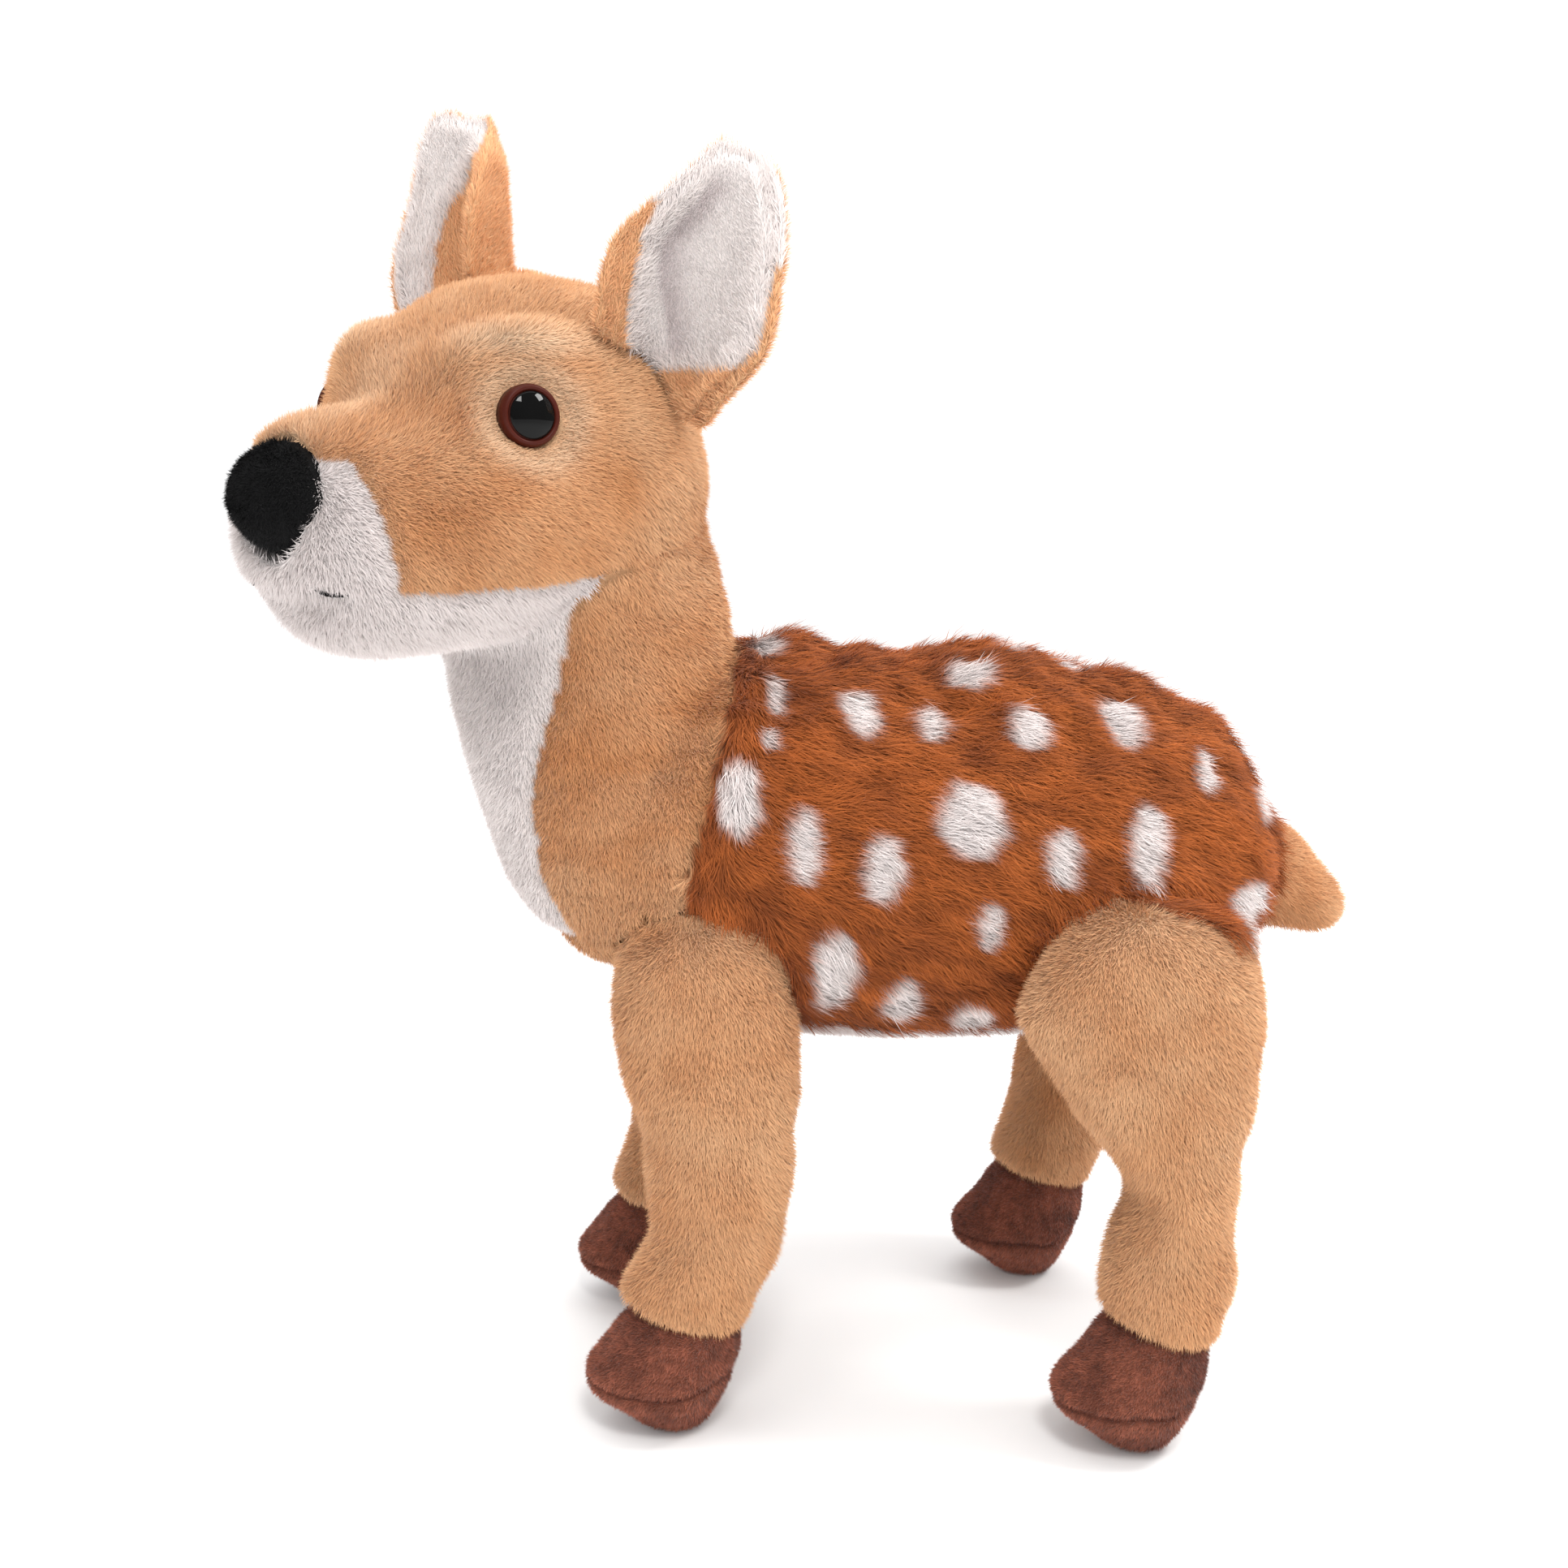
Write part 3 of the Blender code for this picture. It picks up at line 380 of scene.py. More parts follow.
# Stretches of the head's own frame, as steps ahead of and above its middle
THROAT_FORM = ((-0.022, -0.012), (-0.020, -0.030))
THROAT_SKIN = ((-0.030, -0.020), (-0.024, -0.030))
NAPE_FORM = ((-0.004, -0.020), (0.010, -0.010))
NAPE_COMB = ((-0.014, -0.032), (0.004, -0.022))
# The saddle's hem over the thighs: place along the back and height
SADDLE_HEM = ((0.046, 0.2000), (0.055, 0.1275), (0.0655, 0.1245), (0.0787, 0.1216), (0.095, 0.1182))
HEM = 2.0                       # marks the vertices of a thigh that the saddle's hem covers


def whole_form():
    """Return one soft form over all the stuffed pieces, filled out where they meet."""
    if WHOLE:
        return WHOLE
    thing = knitted("whole_form", sum(STUFFED.values(), ()), FORM_GRID, 2)
    mesh = thing.data
    trees = {key: finder(*nodes) for key, nodes in STUFFED.items()}
    places = numbers(mesh)
    local = in_head(places)
    reach = np.array([reach_of(tree, places) for tree in trees.values()])
    near = smooth(*EASED_BESIDE, np.sort(reach, 0)[1])
    near = (near * (1.0 - THROAT_HOLD * head_stretch(local, THROAT_FORM)))[:, None]
    start, normals = places.copy(), numbers(mesh, "normal")
    ends = edges_of(mesh)
    count = np.bincount(ends.ravel(), minlength=len(places))[:, None]
    for turn in range(EASING_ROUNDS + NAPE_ROUNDS):
        if turn == EASING_ROUNDS:
            near *= head_stretch(local, NAPE_FORM)[:, None]
        total = np.zeros_like(places)
        np.add.at(total, ends[:, 0], places[ends[:, 1]])
        np.add.at(total, ends[:, 1], places[ends[:, 0]])
        places += 0.5 * near * (total / count - places)
    rise = ((places - start) * normals).sum(1)
    place_all(mesh, start + normals * np.maximum(rise, LEAST_RISE)[:, None])
    thing.modifiers.new("even", "SMOOTH").iterations = 4
    mesh = made(thing)
    places = numbers(mesh)
    press(mesh, -sum(depth * mound(places, middle, spread) for depth, middle, spread in FILLS))
    WHOLE.update(tree=tree_of(mesh), pieces=trees)
    forget(thing)
    return WHOLE


def under_hem(spot):
    """Return 1 where the saddle's hem covers a thigh and 0 elsewhere."""
    edge = along_table(spot.y, SADDLE_HEM)
    return float(smooth(edge - HEM_STEP, edge + HEM_STEP, spot.z)) if spot.y > SADDLE_HEM[0][0] else 0.0


def settled(mesh, key):
    """Draw a skin onto the whole form near its neighbours; return 1 where it shows, HEM or 0."""
    form = whole_form()
    own = form["pieces"][key]
    rest = [tree for name, tree in form["pieces"].items() if name != key]
    places, normals = numbers(mesh), numbers(mesh, "normal")
    shows = np.ones(len(places))
    strip = SHARED_STRIP + THROAT_STRIP * head_stretch(in_head(places), THROAT_SKIN)
    for i, place in enumerate(places):
        point = Vector(place)
        beside = min(tree.find_nearest(point)[3] for tree in rest)
        if beside > MEET_REACH:
            continue
        spot, way, _, away = form["tree"].find_nearest(point)
        if away > FORM_GAP or way.dot(Vector(normals[i])) < FORM_FACING:
            shows[i] = 0.0
            continue
        if key != "torso" and under_hem(spot) > 0.5:
            places[i] = spot - way * HEM_SINK
            shows[i] = HEM
            continue
        lead = min(tree.find_nearest(spot)[3] for tree in rest) - own.find_nearest(spot)[3]
        if spot.y > REAR_HALF:
            lead += REAR_LEAD if key == "torso" else -REAR_LEAD
        mine = lead > -strip[i]
        pull = float(smooth(MEET_REACH, MEET_FULL, beside))
        target = spot if mine else spot - way * STRIP_SINK
        places[i] = point.lerp(target, pull if mine else 1.0)
        shows[i] = float(mine)
    place_all(mesh, places)
    return shows


def open_share(mesh, others, reach):
    """Return 1 where the skin is in the open and 0 where other pieces cover it."""
    places, normals = numbers(mesh), numbers(mesh, "normal")
    tree = finder(*others)
    free = np.ones(len(places))
    for i, (place, normal) in enumerate(zip(places, normals)):
        start, way = Vector(place), Vector(normal)
        covered = tree.ray_cast(start + way * LIFT_OFF, way, reach)[0] is not None
        if covered or tree.find_nearest(start, TOUCHING)[0] is not None:
            free[i] = 0.0
    return free


def press(mesh, depth):
    """Move each vertex in along its normal by its depth."""
    place_all(mesh, numbers(mesh) - numbers(mesh, "normal") * np.asarray(depth)[:, None])


def part_of(mesh, keep, name):
    """Return a copy of a mesh with only the faces whose first vertex is kept."""
    body = bmesh.new()
    body.from_mesh(mesh)
    body.verts.ensure_lookup_table()
    gone = [face for face in body.faces if not keep[face.verts[0].index]]
    bmesh.ops.delete(body, geom=gone, context="FACES")
    part = bpy.data.meshes.new(name)
    body.to_mesh(part)
    body.free()
    return part


def dressed(thing, body, slot, materials, *nodes):
    """Give a finished piece its materials and its body, and hide the CAD nodes it stands for; its slot is not
    used.
    """
    if len(thing.data.materials):
        thing.data.materials.clear()
    for material in materials:
        thing.data.materials.append(material)
    if nodes:
        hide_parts(*nodes)
    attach(thing, body)
    return thing

def bedding(mesh, comb, fluff, cover, tint, rise=0.0):
    """Store what pile reads from its bed: the way it lies, its length, cover, tint and lift."""
    write(mesh, "comb", comb, "FLOAT_VECTOR")
    write(mesh, "fluff", fluff)
    write(mesh, "rise", np.broadcast_to(rise, len(comb)))
    write(mesh, "cover", cover)
    write(mesh, "tint", tint, "FLOAT_COLOR")


def backed(skin, tint, shade, body, slot, *nodes):
    """Finish a skin as the cloth backing under its pile, darkened with painted shade."""
    write(skin.data, "tint", tint * shade, "FLOAT_COLOR")
    dressed(skin, body, slot, [materials()["backing"]], *nodes)


# Pile, as a Geometry Nodes tree
BLADE = ((0.0, 0.5), (0.5, 0.42), (1.0, 0.0))   # height and half width of a strand's rows
CELL_HALF = 0.42                # half width of a strand in its own cell of the baked picture


def strand_object(name, bend):
    """Make one strand of unit length: a flat blade along Z that bends towards its back."""
    rows = BLADE if bend else (BLADE[0], BLADE[-1])
    places, along, cell = [], [], []
    for height, half in rows:
        for side in ((-1.0, 1.0) if half else (0.0,)):
            places.append((side * half, -bend * height * height, height))
            along.append(height)
            cell.append((0.5 + CELL_HALF * side, 0.5 + CELL_HALF * (2.0 * height - 1.0), 0.0))
    faces = [(0, 1, 3, 2), (2, 3, 4)] if bend else [(0, 1, 2)]
    mesh = bpy.data.meshes.new(name)
    mesh.from_pydata(places, [], faces)
    write(mesh, "along", np.array(along))
    write(mesh, "cell_place", np.array(cell), "FLOAT_VECTOR")
    return link(name, mesh)


def short_strand():
    """Make the straight strand of the short plush."""
    return strand_object("short_strand", 0.0)


def long_strand():
    """Make the bent strand of the saddle."""
    return strand_object("long_strand", 0.35)


class Tree:
    """Builds a node tree with short calls."""

    def __init__(self, tree):
        self.tree = tree

    def node(self, kind, **values):
        """Add a node and set its own values."""
        made_node = self.tree.nodes.new(kind)
        for key, value in values.items():
            setattr(made_node, key, value)
        return made_node

    def feed(self, socket, source):
        """Link a socket to another, or set its value."""
        if isinstance(source, bpy.types.NodeSocket):
            self.tree.links.new(source, socket)
        elif source is not None:
            socket.default_value = source

    def maths(self, operation, first, second=None, third=None):
        """Add a Math node and return its output."""
        found = self.node("ShaderNodeMath", operation=operation)
        for socket, source in zip(found.inputs, (first, second, third)):
            self.feed(socket, source)
        return found.outputs[0]

    def vector(self, operation, first, second=None, scale=None):
        """Add a Vector Math node and return its output."""
        found = self.node("ShaderNodeVectorMath", operation=operation)
        self.feed(found.inputs[0], first)
        self.feed(found.inputs[1], second)
        self.feed(found.inputs[3], scale)
        return found.outputs["Value" if operation == "DOT_PRODUCT" else "Vector"]

    def attribute(self, name, kind):
        """Read a named attribute."""
        found = self.node("GeometryNodeInputNamedAttribute", data_type=kind)
        found.inputs["Name"].default_value = name
        return found.outputs["Attribute"]

    def chance(self, low, high, seed, kind="FLOAT"):
        """Add a seeded random value."""
        found = self.node("FunctionNodeRandomValue", data_type=kind)
        first = 0 if kind == "FLOAT_VECTOR" else 2
        self.feed(found.inputs[first], low)
        self.feed(found.inputs[first + 1], high)
        self.feed(found.inputs["Seed"], seed)
        return found.outputs[0 if kind == "FLOAT_VECTOR" else 1]

    def store(self, geometry, name, value, kind, domain):
        """Store a named attribute."""
        found = self.node("GeometryNodeStoreNamedAttribute", data_type=kind, domain=domain)
        self.feed(found.inputs["Geometry"], geometry)
        found.inputs["Name"].default_value = name
        self.feed(found.inputs["Value"], value)
        return found.outputs["Geometry"]

    def fill(self, node, values):
        """Link or set several inputs of a node, by their labels, and return the node."""
        for label, value in values.items():
            self.feed(node.inputs[label], value)
        return node


PILE_INPUTS = (
    ("Bed", "NodeSocketGeometry"), ("Strand", "NodeSocketObject"), ("Density", "NodeSocketFloat"),
    ("Length", "NodeSocketFloat"), ("Width", "NodeSocketFloat"), ("Lean", "NodeSocketFloat"),
    ("Spread", "NodeSocketFloat"), ("Length variation", "NodeSocketFloat"),
    ("Seed", "NodeSocketInt"), ("Printed", "NodeSocketBool"), ("Material", "NodeSocketMaterial"))

LEAN_DRAW, STRAY_DRAW, TWIST_DRAW, LENGTH_DRAW, STRAND_DRAW = 11.0, 23.0, 37.0, 41.0, 53.0
LEAN_VARIATION = 0.25           # how far strands lean more or less than their neighbours, in radians
TWIST = 0.45                    # how far a strand's flat side turns away from the cloth
LENGTHS = (-1.0, 0.6)           # how much of the length variation the shortest and longest take
ANY_WAY = ((-1.0, -1.0, -1.0), (1.0, 1.0, 1.0))


def pile_tree():
    """Build the tree that plants combed strands on a bed, once."""
    tree = bpy.data.node_groups.get("Combed pile")
    if tree:
        return tree
    tree = bpy.data.node_groups.new("Combed pile", "GeometryNodeTree")
    for name, kind in PILE_INPUTS:
        tree.interface.new_socket(name, in_out="INPUT", socket_type=kind)
    tree.interface.new_socket("Pile", in_out="OUTPUT", socket_type="NodeSocketGeometry")
    t = Tree(tree)
    given = t.node("NodeGroupInput").outputs

    def draw(number, low, high, kind="FLOAT"):
        """Draw a random value, from the pile's seed and a number of its own."""
        return t.chance(low, high, t.maths("ADD", given["Seed"], number), kind)

    planted = t.fill(t.node("GeometryNodeDistributePointsOnFaces", distribute_method="RANDOM"), {
        "Mesh": given["Bed"], "Seed": given["Seed"],
        "Density": t.maths("MULTIPLY", given["Density"], t.attribute("cover", "FLOAT"))})
    vary = t.maths("ADD", 1.0, t.maths("MULTIPLY", given["Length variation"],
                                       draw(LENGTH_DRAW, *LENGTHS)))
    tall = t.maths("MULTIPLY", t.maths("MULTIPLY", given["Length"], t.attribute("fluff", "FLOAT")), vary)
    size = t.fill(t.node("ShaderNodeCombineXYZ"), {"X": given["Width"], "Y": tall, "Z": tall})
    strand = t.fill(t.node("GeometryNodeObjectInfo", transform_space="ORIGINAL"),
                    {"Object": given["Strand"]})
    sown = t.fill(t.node("GeometryNodeInstanceOnPoints"), {
        "Points": planted.outputs["Points"], "Instance": strand.outputs["Geometry"],
        "Rotation": combed(t, given, planted.outputs["Normal"], draw),
        "Scale": size.outputs["Vector"]})

    out = sown.outputs["Instances"]
    out = t.store(out, "strand", draw(STRAND_DRAW, 0.0, 1.0), "FLOAT", "INSTANCE")
    out = t.store(out, "cell", t.node("GeometryNodeInputIndex").outputs[0], "FLOAT", "INSTANCE")
    counted = t.fill(t.node("GeometryNodeAttributeDomainSize", component="INSTANCES"),
                     {"Geometry": out})
    real = t.fill(t.node("GeometryNodeRealizeInstances"), {"Geometry": out})
    place = cell_place(t, counted.outputs["Instance Count"])
    out = t.store(real.outputs["Geometry"], "OFBake", place, "FLOAT2", "CORNER")
    under = t.fill(t.node("GeometryNodeSampleNearestSurface", data_type="FLOAT_COLOR"), {
        "Mesh": given["Bed"], "Value": t.attribute("tint", "FLOAT_COLOR")})
    printed = t.fill(t.node("GeometryNodeSwitch", input_type="GEOMETRY"), {
        "Switch": given["Printed"], "False": out,
        "True": t.store(out, "tint", under.outputs["Value"], "FLOAT_COLOR", "POINT")})
    painted = t.fill(t.node("GeometryNodeSetMaterial"), {
        "Geometry": printed.outputs["Output"], "Material": given["Material"]})
    t.feed(t.node("NodeGroupOutput").inputs["Pile"], painted.outputs["Geometry"])
    return tree


def combed(t, given, normal, draw):
    """Turn each strand the way its bed is combed, raised off the cloth and a little astray."""
    comb = t.attribute("comb", "FLOAT_VECTOR")
    flat = t.vector("SUBTRACT", comb, t.vector("SCALE", normal, None, t.vector("DOT_PRODUCT", comb, normal)))
    flat = t.vector("NORMALIZE", flat)
    lean = t.maths("ADD", given["Lean"], draw(LEAN_DRAW, -LEAN_VARIATION, LEAN_VARIATION))
    lean = t.maths("ADD", lean, t.attribute("rise", "FLOAT"))
    stray = draw(STRAY_DRAW, *ANY_WAY, "FLOAT_VECTOR")
    way = t.vector("ADD", t.vector("SCALE", flat, None, t.maths("COSINE", lean)),
                   t.vector("SCALE", normal, None, t.maths("SINE", lean)))
    way = t.vector("NORMALIZE", t.vector("ADD", way, t.vector("SCALE", stray, None, given["Spread"])))
    twist = draw(TWIST_DRAW, *ANY_WAY, "FLOAT_VECTOR")
    face = t.vector("ADD", normal, t.vector("SCALE", twist, None, TWIST))
    turn = t.node("FunctionNodeAxesToRotation", primary_axis="Z", secondary_axis="Y")
    return t.fill(turn, {"Primary Axis": way, "Secondary Axis": face}).outputs["Rotation"]


def cell_place(t, count):
    """Give each strand a square cell of its own in the baked picture, in rows and columns."""
    side = t.maths("CEIL", t.maths("SQRT", count))
    cell = t.attribute("cell", "FLOAT")
    inside = t.node("ShaderNodeSeparateXYZ")
    t.feed(inside.inputs[0], t.attribute("cell_place", "FLOAT_VECTOR"))
    row = t.maths("FLOOR", t.maths("DIVIDE", t.maths("ADD", cell, 0.5), side))
    column = t.maths("SUBTRACT", cell, t.maths("MULTIPLY", row, side))
    spot = t.fill(t.node("ShaderNodeCombineXYZ"), {
        "X": t.maths("DIVIDE", t.maths("ADD", column, inside.outputs["X"]), side),
        "Y": t.maths("DIVIDE", t.maths("ADD", row, inside.outputs["Y"]), side)})
    return spot.outputs["Vector"]


def pile(name, bed, material, body, slot, nodes=(), **values):
    """Plant pile on a bed mesh and return it as a finished piece."""
    thing = link(name, bed)
    step = thing.modifiers.new("pile", "NODES")
    step.node_group = pile_tree()
    given = {"Material": material, **values}
    for item in step.node_group.interface.items_tree:
        if item.name in given:
            step[item.identifier] = given[item.name]
    mesh = made(thing)
    thing.modifiers.clear()
    thing.data = mesh
    bpy.data.meshes.remove(bed)
    for old in ("comb", "cover", "fluff", "rise", "cell", "cell_place"):
        if old in mesh.attributes:
            mesh.attributes.remove(mesh.attributes[old])
    mesh.shade_smooth()
    mesh.name = name
    return dressed(thing, body, slot, [material], *nodes)

# Materials
def group_of(name, inputs, outputs, build):
    """Return a shader node group, built on first use."""
    tree = bpy.data.node_groups.get(name)
    if tree:
        return tree
    tree = bpy.data.node_groups.new(name, "ShaderNodeTree")
    for way, sockets in (("INPUT", inputs), ("OUTPUT", outputs)):
        for label, kind in sockets.items():
            tree.interface.new_socket(label, in_out=way, socket_type="NodeSocket" + kind)
    t = Tree(tree)
    build(t, t.node("NodeGroupInput").outputs, t.node("NodeGroupOutput").inputs)
    return tree


def scaled(t, tint, level):
    """Make a colour lighter or darker by a level."""
    return t.vector("SCALE", tint, None, level)


def strand_shade():
    """Colour along a strand: painted shade at its darker root, painted light at its brighter tip, and a tone
    of its own.
    """
    def build(t, given, out):
        tone = t.maths("ADD", 1.0, t.maths("MULTIPLY", given["Variation"],
                                          t.maths("SUBTRACT", given["Strand"], 0.5)))
        rise = t.maths("POWER", given["Along"], 0.8)
        level = t.maths("ADD", given["Root"], t.maths("MULTIPLY", rise, t.maths(
            "SUBTRACT", given["Tip"], given["Root"])))
        t.feed(out["Colour"], scaled(t, given["Tint"], t.maths("MULTIPLY", level, tone)))
    return group_of("Strand shade", {
        "Tint": "Color", "Strand": "Float", "Along": "Float", "Root": "Float", "Tip": "Float",
        "Variation": "Float"}, {"Colour": "Color"}, build)


def cloth_grain():
    """Woven backing and lint: a mottled colour, a roughness and a height."""
    def build(t, given, out):
        place = t.node("ShaderNodeTexCoord").outputs["Object"]
        lint = t.fill(t.node("ShaderNodeTexNoise"), {
            "Vector": place, "Scale": given["Scale"], "Detail": 5.0}).outputs[0]
        weave = t.fill(t.node("ShaderNodeTexVoronoi"), {
            "Vector": place, "Scale": t.maths("MULTIPLY", given["Scale"], 6.0)})
        level = t.maths("ADD", t.maths("MULTIPLY", lint, given["Mottle"]),
                        t.maths("SUBTRACT", 1.0, t.maths("MULTIPLY", given["Mottle"], 0.5)))
        t.feed(out["Colour"], scaled(t, given["Tint"], level))
        t.feed(out["Roughness"], t.maths("ADD", 0.72, t.maths("MULTIPLY", lint, 0.25)))
        t.feed(out["Height"], t.maths("ADD", weave.outputs["Distance"], lint))
    return group_of("Cloth grain", {"Tint": "Color", "Scale": "Float", "Mottle": "Float"},
                    {"Colour": "Color", "Roughness": "Float", "Height": "Float"}, build)


def new_material(name, **values):
    """Return a new material, its tree helper and its shader with the given values."""
    material = bpy.data.materials.new(name)
    material.use_nodes = True
    t = Tree(material.node_tree)
    shader = material.node_tree.nodes["Principled BSDF"]
    t.fill(shader, {key.replace("_", " "): value for key, value in values.items()})
    return material, t, shader


def grained(t, shader, tint, scale, mottle):
    """Colour a shader with the grain of cloth, and return the grain's node."""
    cloth = t.fill(t.node("ShaderNodeGroup", node_tree=cloth_grain()),
                   {"Tint": tint, "Scale": scale, "Mottle": mottle})
    t.feed(shader.inputs["Base Color"], cloth.outputs["Colour"])
    return cloth


def read(t, name, output):
    """Read an attribute of the mesh in a material."""
    return t.node("ShaderNodeAttribute", attribute_name=name).outputs[output]


def pile_material(name, root, tip, variation, sheen=0.25):
    """Return the material of a pile, which takes its tint from its roots."""
    material, t, shader = new_material(name, Roughness=0.78, Specular_IOR_Level=0.22,
                                       Sheen_Weight=sheen, Sheen_Roughness=0.45)
    shade = t.fill(t.node("ShaderNodeGroup", node_tree=strand_shade()), {
        "Tint": read(t, "tint", "Color"), "Strand": read(t, "strand", "Fac"),
        "Along": read(t, "along", "Fac"), "Root": root, "Tip": tip, "Variation": variation})
    t.feed(shader.inputs["Base Color"], shade.outputs["Colour"])
    return material


def cloth_material(name, scale, mottle, bump=0.0003, tint=None):
    """Return the material of a skin: the cloth under the pile."""
    material, t, shader = new_material(name, Specular_IOR_Level=0.2)
    own = read(t, "tint", "Color") if tint is None else (*tint, 1.0)
    cloth = grained(t, shader, own, scale, mottle)
    rise = t.fill(t.node("ShaderNodeBump"), {"Distance": bump, "Height": cloth.outputs["Height"]})
    t.feed(shader.inputs["Roughness"], cloth.outputs["Roughness"])
    t.feed(shader.inputs["Normal"], rise.outputs["Normal"])
    return material


def plastic_material(name, tint, roughness, speck, gloss=0.5):
    """Return moulded plastic: faint flow marks in its colour and its roughness."""
    material, t, shader = new_material(name, Specular_IOR_Level=gloss)
    flow = grained(t, shader, (*tint, 1.0), 260.0, speck)
    t.feed(shader.inputs["Roughness"], t.maths("MULTIPLY", flow.outputs["Roughness"], roughness))
    return material


MATERIALS = {}


def materials():
    """Return the deer's cloths, piles and thread, made on first use."""
    if MATERIALS:
        return MATERIALS
    black = settings()[0].black
    # Each pile's root and tip levels paint shade at the strands' roots and light at their tips
    MATERIALS.update(
        plush=pile_material("tan_plush", 0.74, 1.06, 0.18),
        white=pile_material("white_plush", 0.86, 1.04, 0.08),
        saddle=pile_material("spotted_plush", 0.58, 1.14, 0.42, 0.12),
        velour=pile_material("hoof_velour", 0.50, 1.25, 0.85, 0.3),
        nose=pile_material("nose_pile", 0.6, 1.2, 0.5, 0.05),
        backing=cloth_material("plush_backing", 900.0, 0.3),
        nose_cloth=cloth_material("nose_cloth", 900.0, 0.5, 0.0004, black),
        thread=cloth_material("black_thread", 2500.0, 0.6, 0.0002, black))
    return MATERIALS


# Where things are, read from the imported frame
def centre_of(node):
    """Return the middle of a CAD node's vertices."""
    return Vector(np.mean([v.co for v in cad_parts[node].data.vertices], 0))


EYE_LEFT, EYE_RIGHT = centre_of("eye_left"), centre_of("eye_right")
UP = Vector((0.0, 0.0, 1.0))
HEAD_LEFT = (EYE_LEFT - EYE_RIGHT).normalized()
HEAD_FRONT = HEAD_LEFT.cross(UP).normalized()
HEAD_MIDDLE = (EYE_LEFT + EYE_RIGHT) / 2.0
TORSO_LOW, TORSO_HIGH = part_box("torso")
BACK_LEVEL = (TORSO_LOW.z + TORSO_HIGH.z) / 2.0


def in_head(places):
    """Return places in the head's own frame: forward, to its left and up from between its eyes."""
    turn = np.array([HEAD_FRONT, HEAD_LEFT, UP])
    return (places - np.array(HEAD_MIDDLE)) @ turn.T


# Spots: place along the back, degrees from its top, half length and half height, in millimetres
SPOTS = (
    (3.0, 42, 4.1, 5.8), (18.8, 44, 3.0, 4.8), (28.4, 26, 5.0, 4.6), (39.8, 47, 3.9, 4.2),
    (61.7, 39, 4.7, 8.2), (80.4, 55, 2.2, 6.8), (26.7, 77, 6.9, 8.4), (7.9, 92, 4.0, 7.4),
    (-9.1, 86, 3.4, 8.2), (-22.8, 71, 4.3, 8.2), (-15.0, 37, 1.9, 5.2), (-16.6, 52, 1.7, 2.4),
    (46.8, 88, 3.2, 6.4), (65.4, 84, 3.8, 9.2), (90.5, 110, 5.0, 6.4), (32.0, 111, 2.8, 5.8),
    (-1.2, 126, 4.9, 8.8), (14.2, 134, 4.2, 5.4), (31.0, 142, 4.6, 4.6), (-15.4, 8, 3.2, 5.0),
    (54.6, 6, 4.6, 5.0), (41.0, 4, 3.6, 4.6), (97.0, 62, 2.6, 9.5))

HIGHEST_PAIR = 8                # spots nearer the ridge than this, in degrees, aren't mirrored
FAR_SPOT_SHIFT = 0.0045         # how far the right side's spots lie behind the left side's
FLANK_ROUND = 0.041             # radius at which degrees round the back become a length
SPOT_EDGE = (0.90, 1.10)        # where a spot starts to fade and where it ends
NECK_SHADE = (0.152, 0.034)     # height of the neck's deeper tan and how far it spreads
BRUSHED, STREAKS, TUFTS = 0.016, 0.010, 0.004   # how large the marks in the pile are


def tan_cloth(places, extra=0.0):
    """Return the tan plush's colour at each place: deeper up the neck, with brushed patches."""
    colours, _, _ = settings()
    neck = bell(places[:, 2], *NECK_SHADE) * smooth(0.01, -0.03, places[:, 1])
    streak = smooth(0.1, 1.0, grain(places * (0.35, 0.5, 1.9), STREAKS, 8, 3))
    deep = 0.24 + 0.38 * neck + extra + 0.28 * grain(places, BRUSHED, 7, 3) + 0.35 * neck * streak
    return mixed(colours.tan, colours.tan_deep, np.clip(deep, 0.0, 1.0))


def saddle_cloth(places):
    """Return the saddle's colour at each place: rust, darker low down, with white spots."""
    colours, _, _ = settings()
    shade = 0.30 + 0.42 * grain(places * (1.0, 0.45, 1.0), TUFTS, 9, 3) + 0.25 * grain(places, BRUSHED, 10)
    shade += 0.16 * smooth(BACK_LEVEL + 0.01, BACK_LEVEL - 0.02, places[:, 2])
    rust = mixed(colours.rust, colours.rust_deep, np.clip(shade, 0.0, 1.0))
    return mixed(rust, colours.white, spot_share(places))


def spot_share(places):
    """Return 1 inside the white spots of the saddle and 0 outside."""
    share = np.zeros(len(places))
    angle = np.arctan2(places[:, 0], places[:, 2] - BACK_LEVEL)
    rough = grain(places, 0.0035, 31)
    for along, degrees, long, tall in SPOTS:
        for name, side in SIDES:
            if name == "right" and degrees < HIGHEST_PAIR:
                continue
            middle = along * MM + (FAR_SPOT_SHIFT if name == "right" else 0.0)
            away = (places[:, 1] - middle) / (long * MM)
            round_by = (angle - side * math.radians(degrees)) * FLANK_ROUND / (tall * MM)
            reach = np.sqrt(away ** 2 + round_by ** 2) + 0.16 * rough
            share = np.maximum(share, 1.0 - smooth(*SPOT_EDGE, reach))
    return share


def soft_skin(thing, panels, seams):
    """Draw the seams of a skin in and give it the slight unevenness of stuffing."""
    _, sizes, _ = settings()
    mesh = thing.data
    apart = edge_distance(mesh, panels)
    dent = seams * sizes.seam_depth * bell(apart, 0.0, sizes.seam_width)
    press(mesh, dent + 0.00045 * grain(numbers(mesh), 0.022, 5))
    return apart


def pile_of(strand, per_mm, length, width, lean, spread, variation, printed=False):
    """Return the settings of a pile: its strands, their size and how they lie."""
    return {"Strand": strand, "Density": per_mm * 1e6, "Length": length, "Width": width,
            "Lean": lean, "Spread": spread, "Length variation": variation, "Printed": printed}


def short_pile(strand):
    """Return the settings of the short plush."""
    _, sizes, _ = settings()
    return pile_of(strand, sizes.per_mm, sizes.short, sizes.width, 0.80, 0.34, LIVELY)


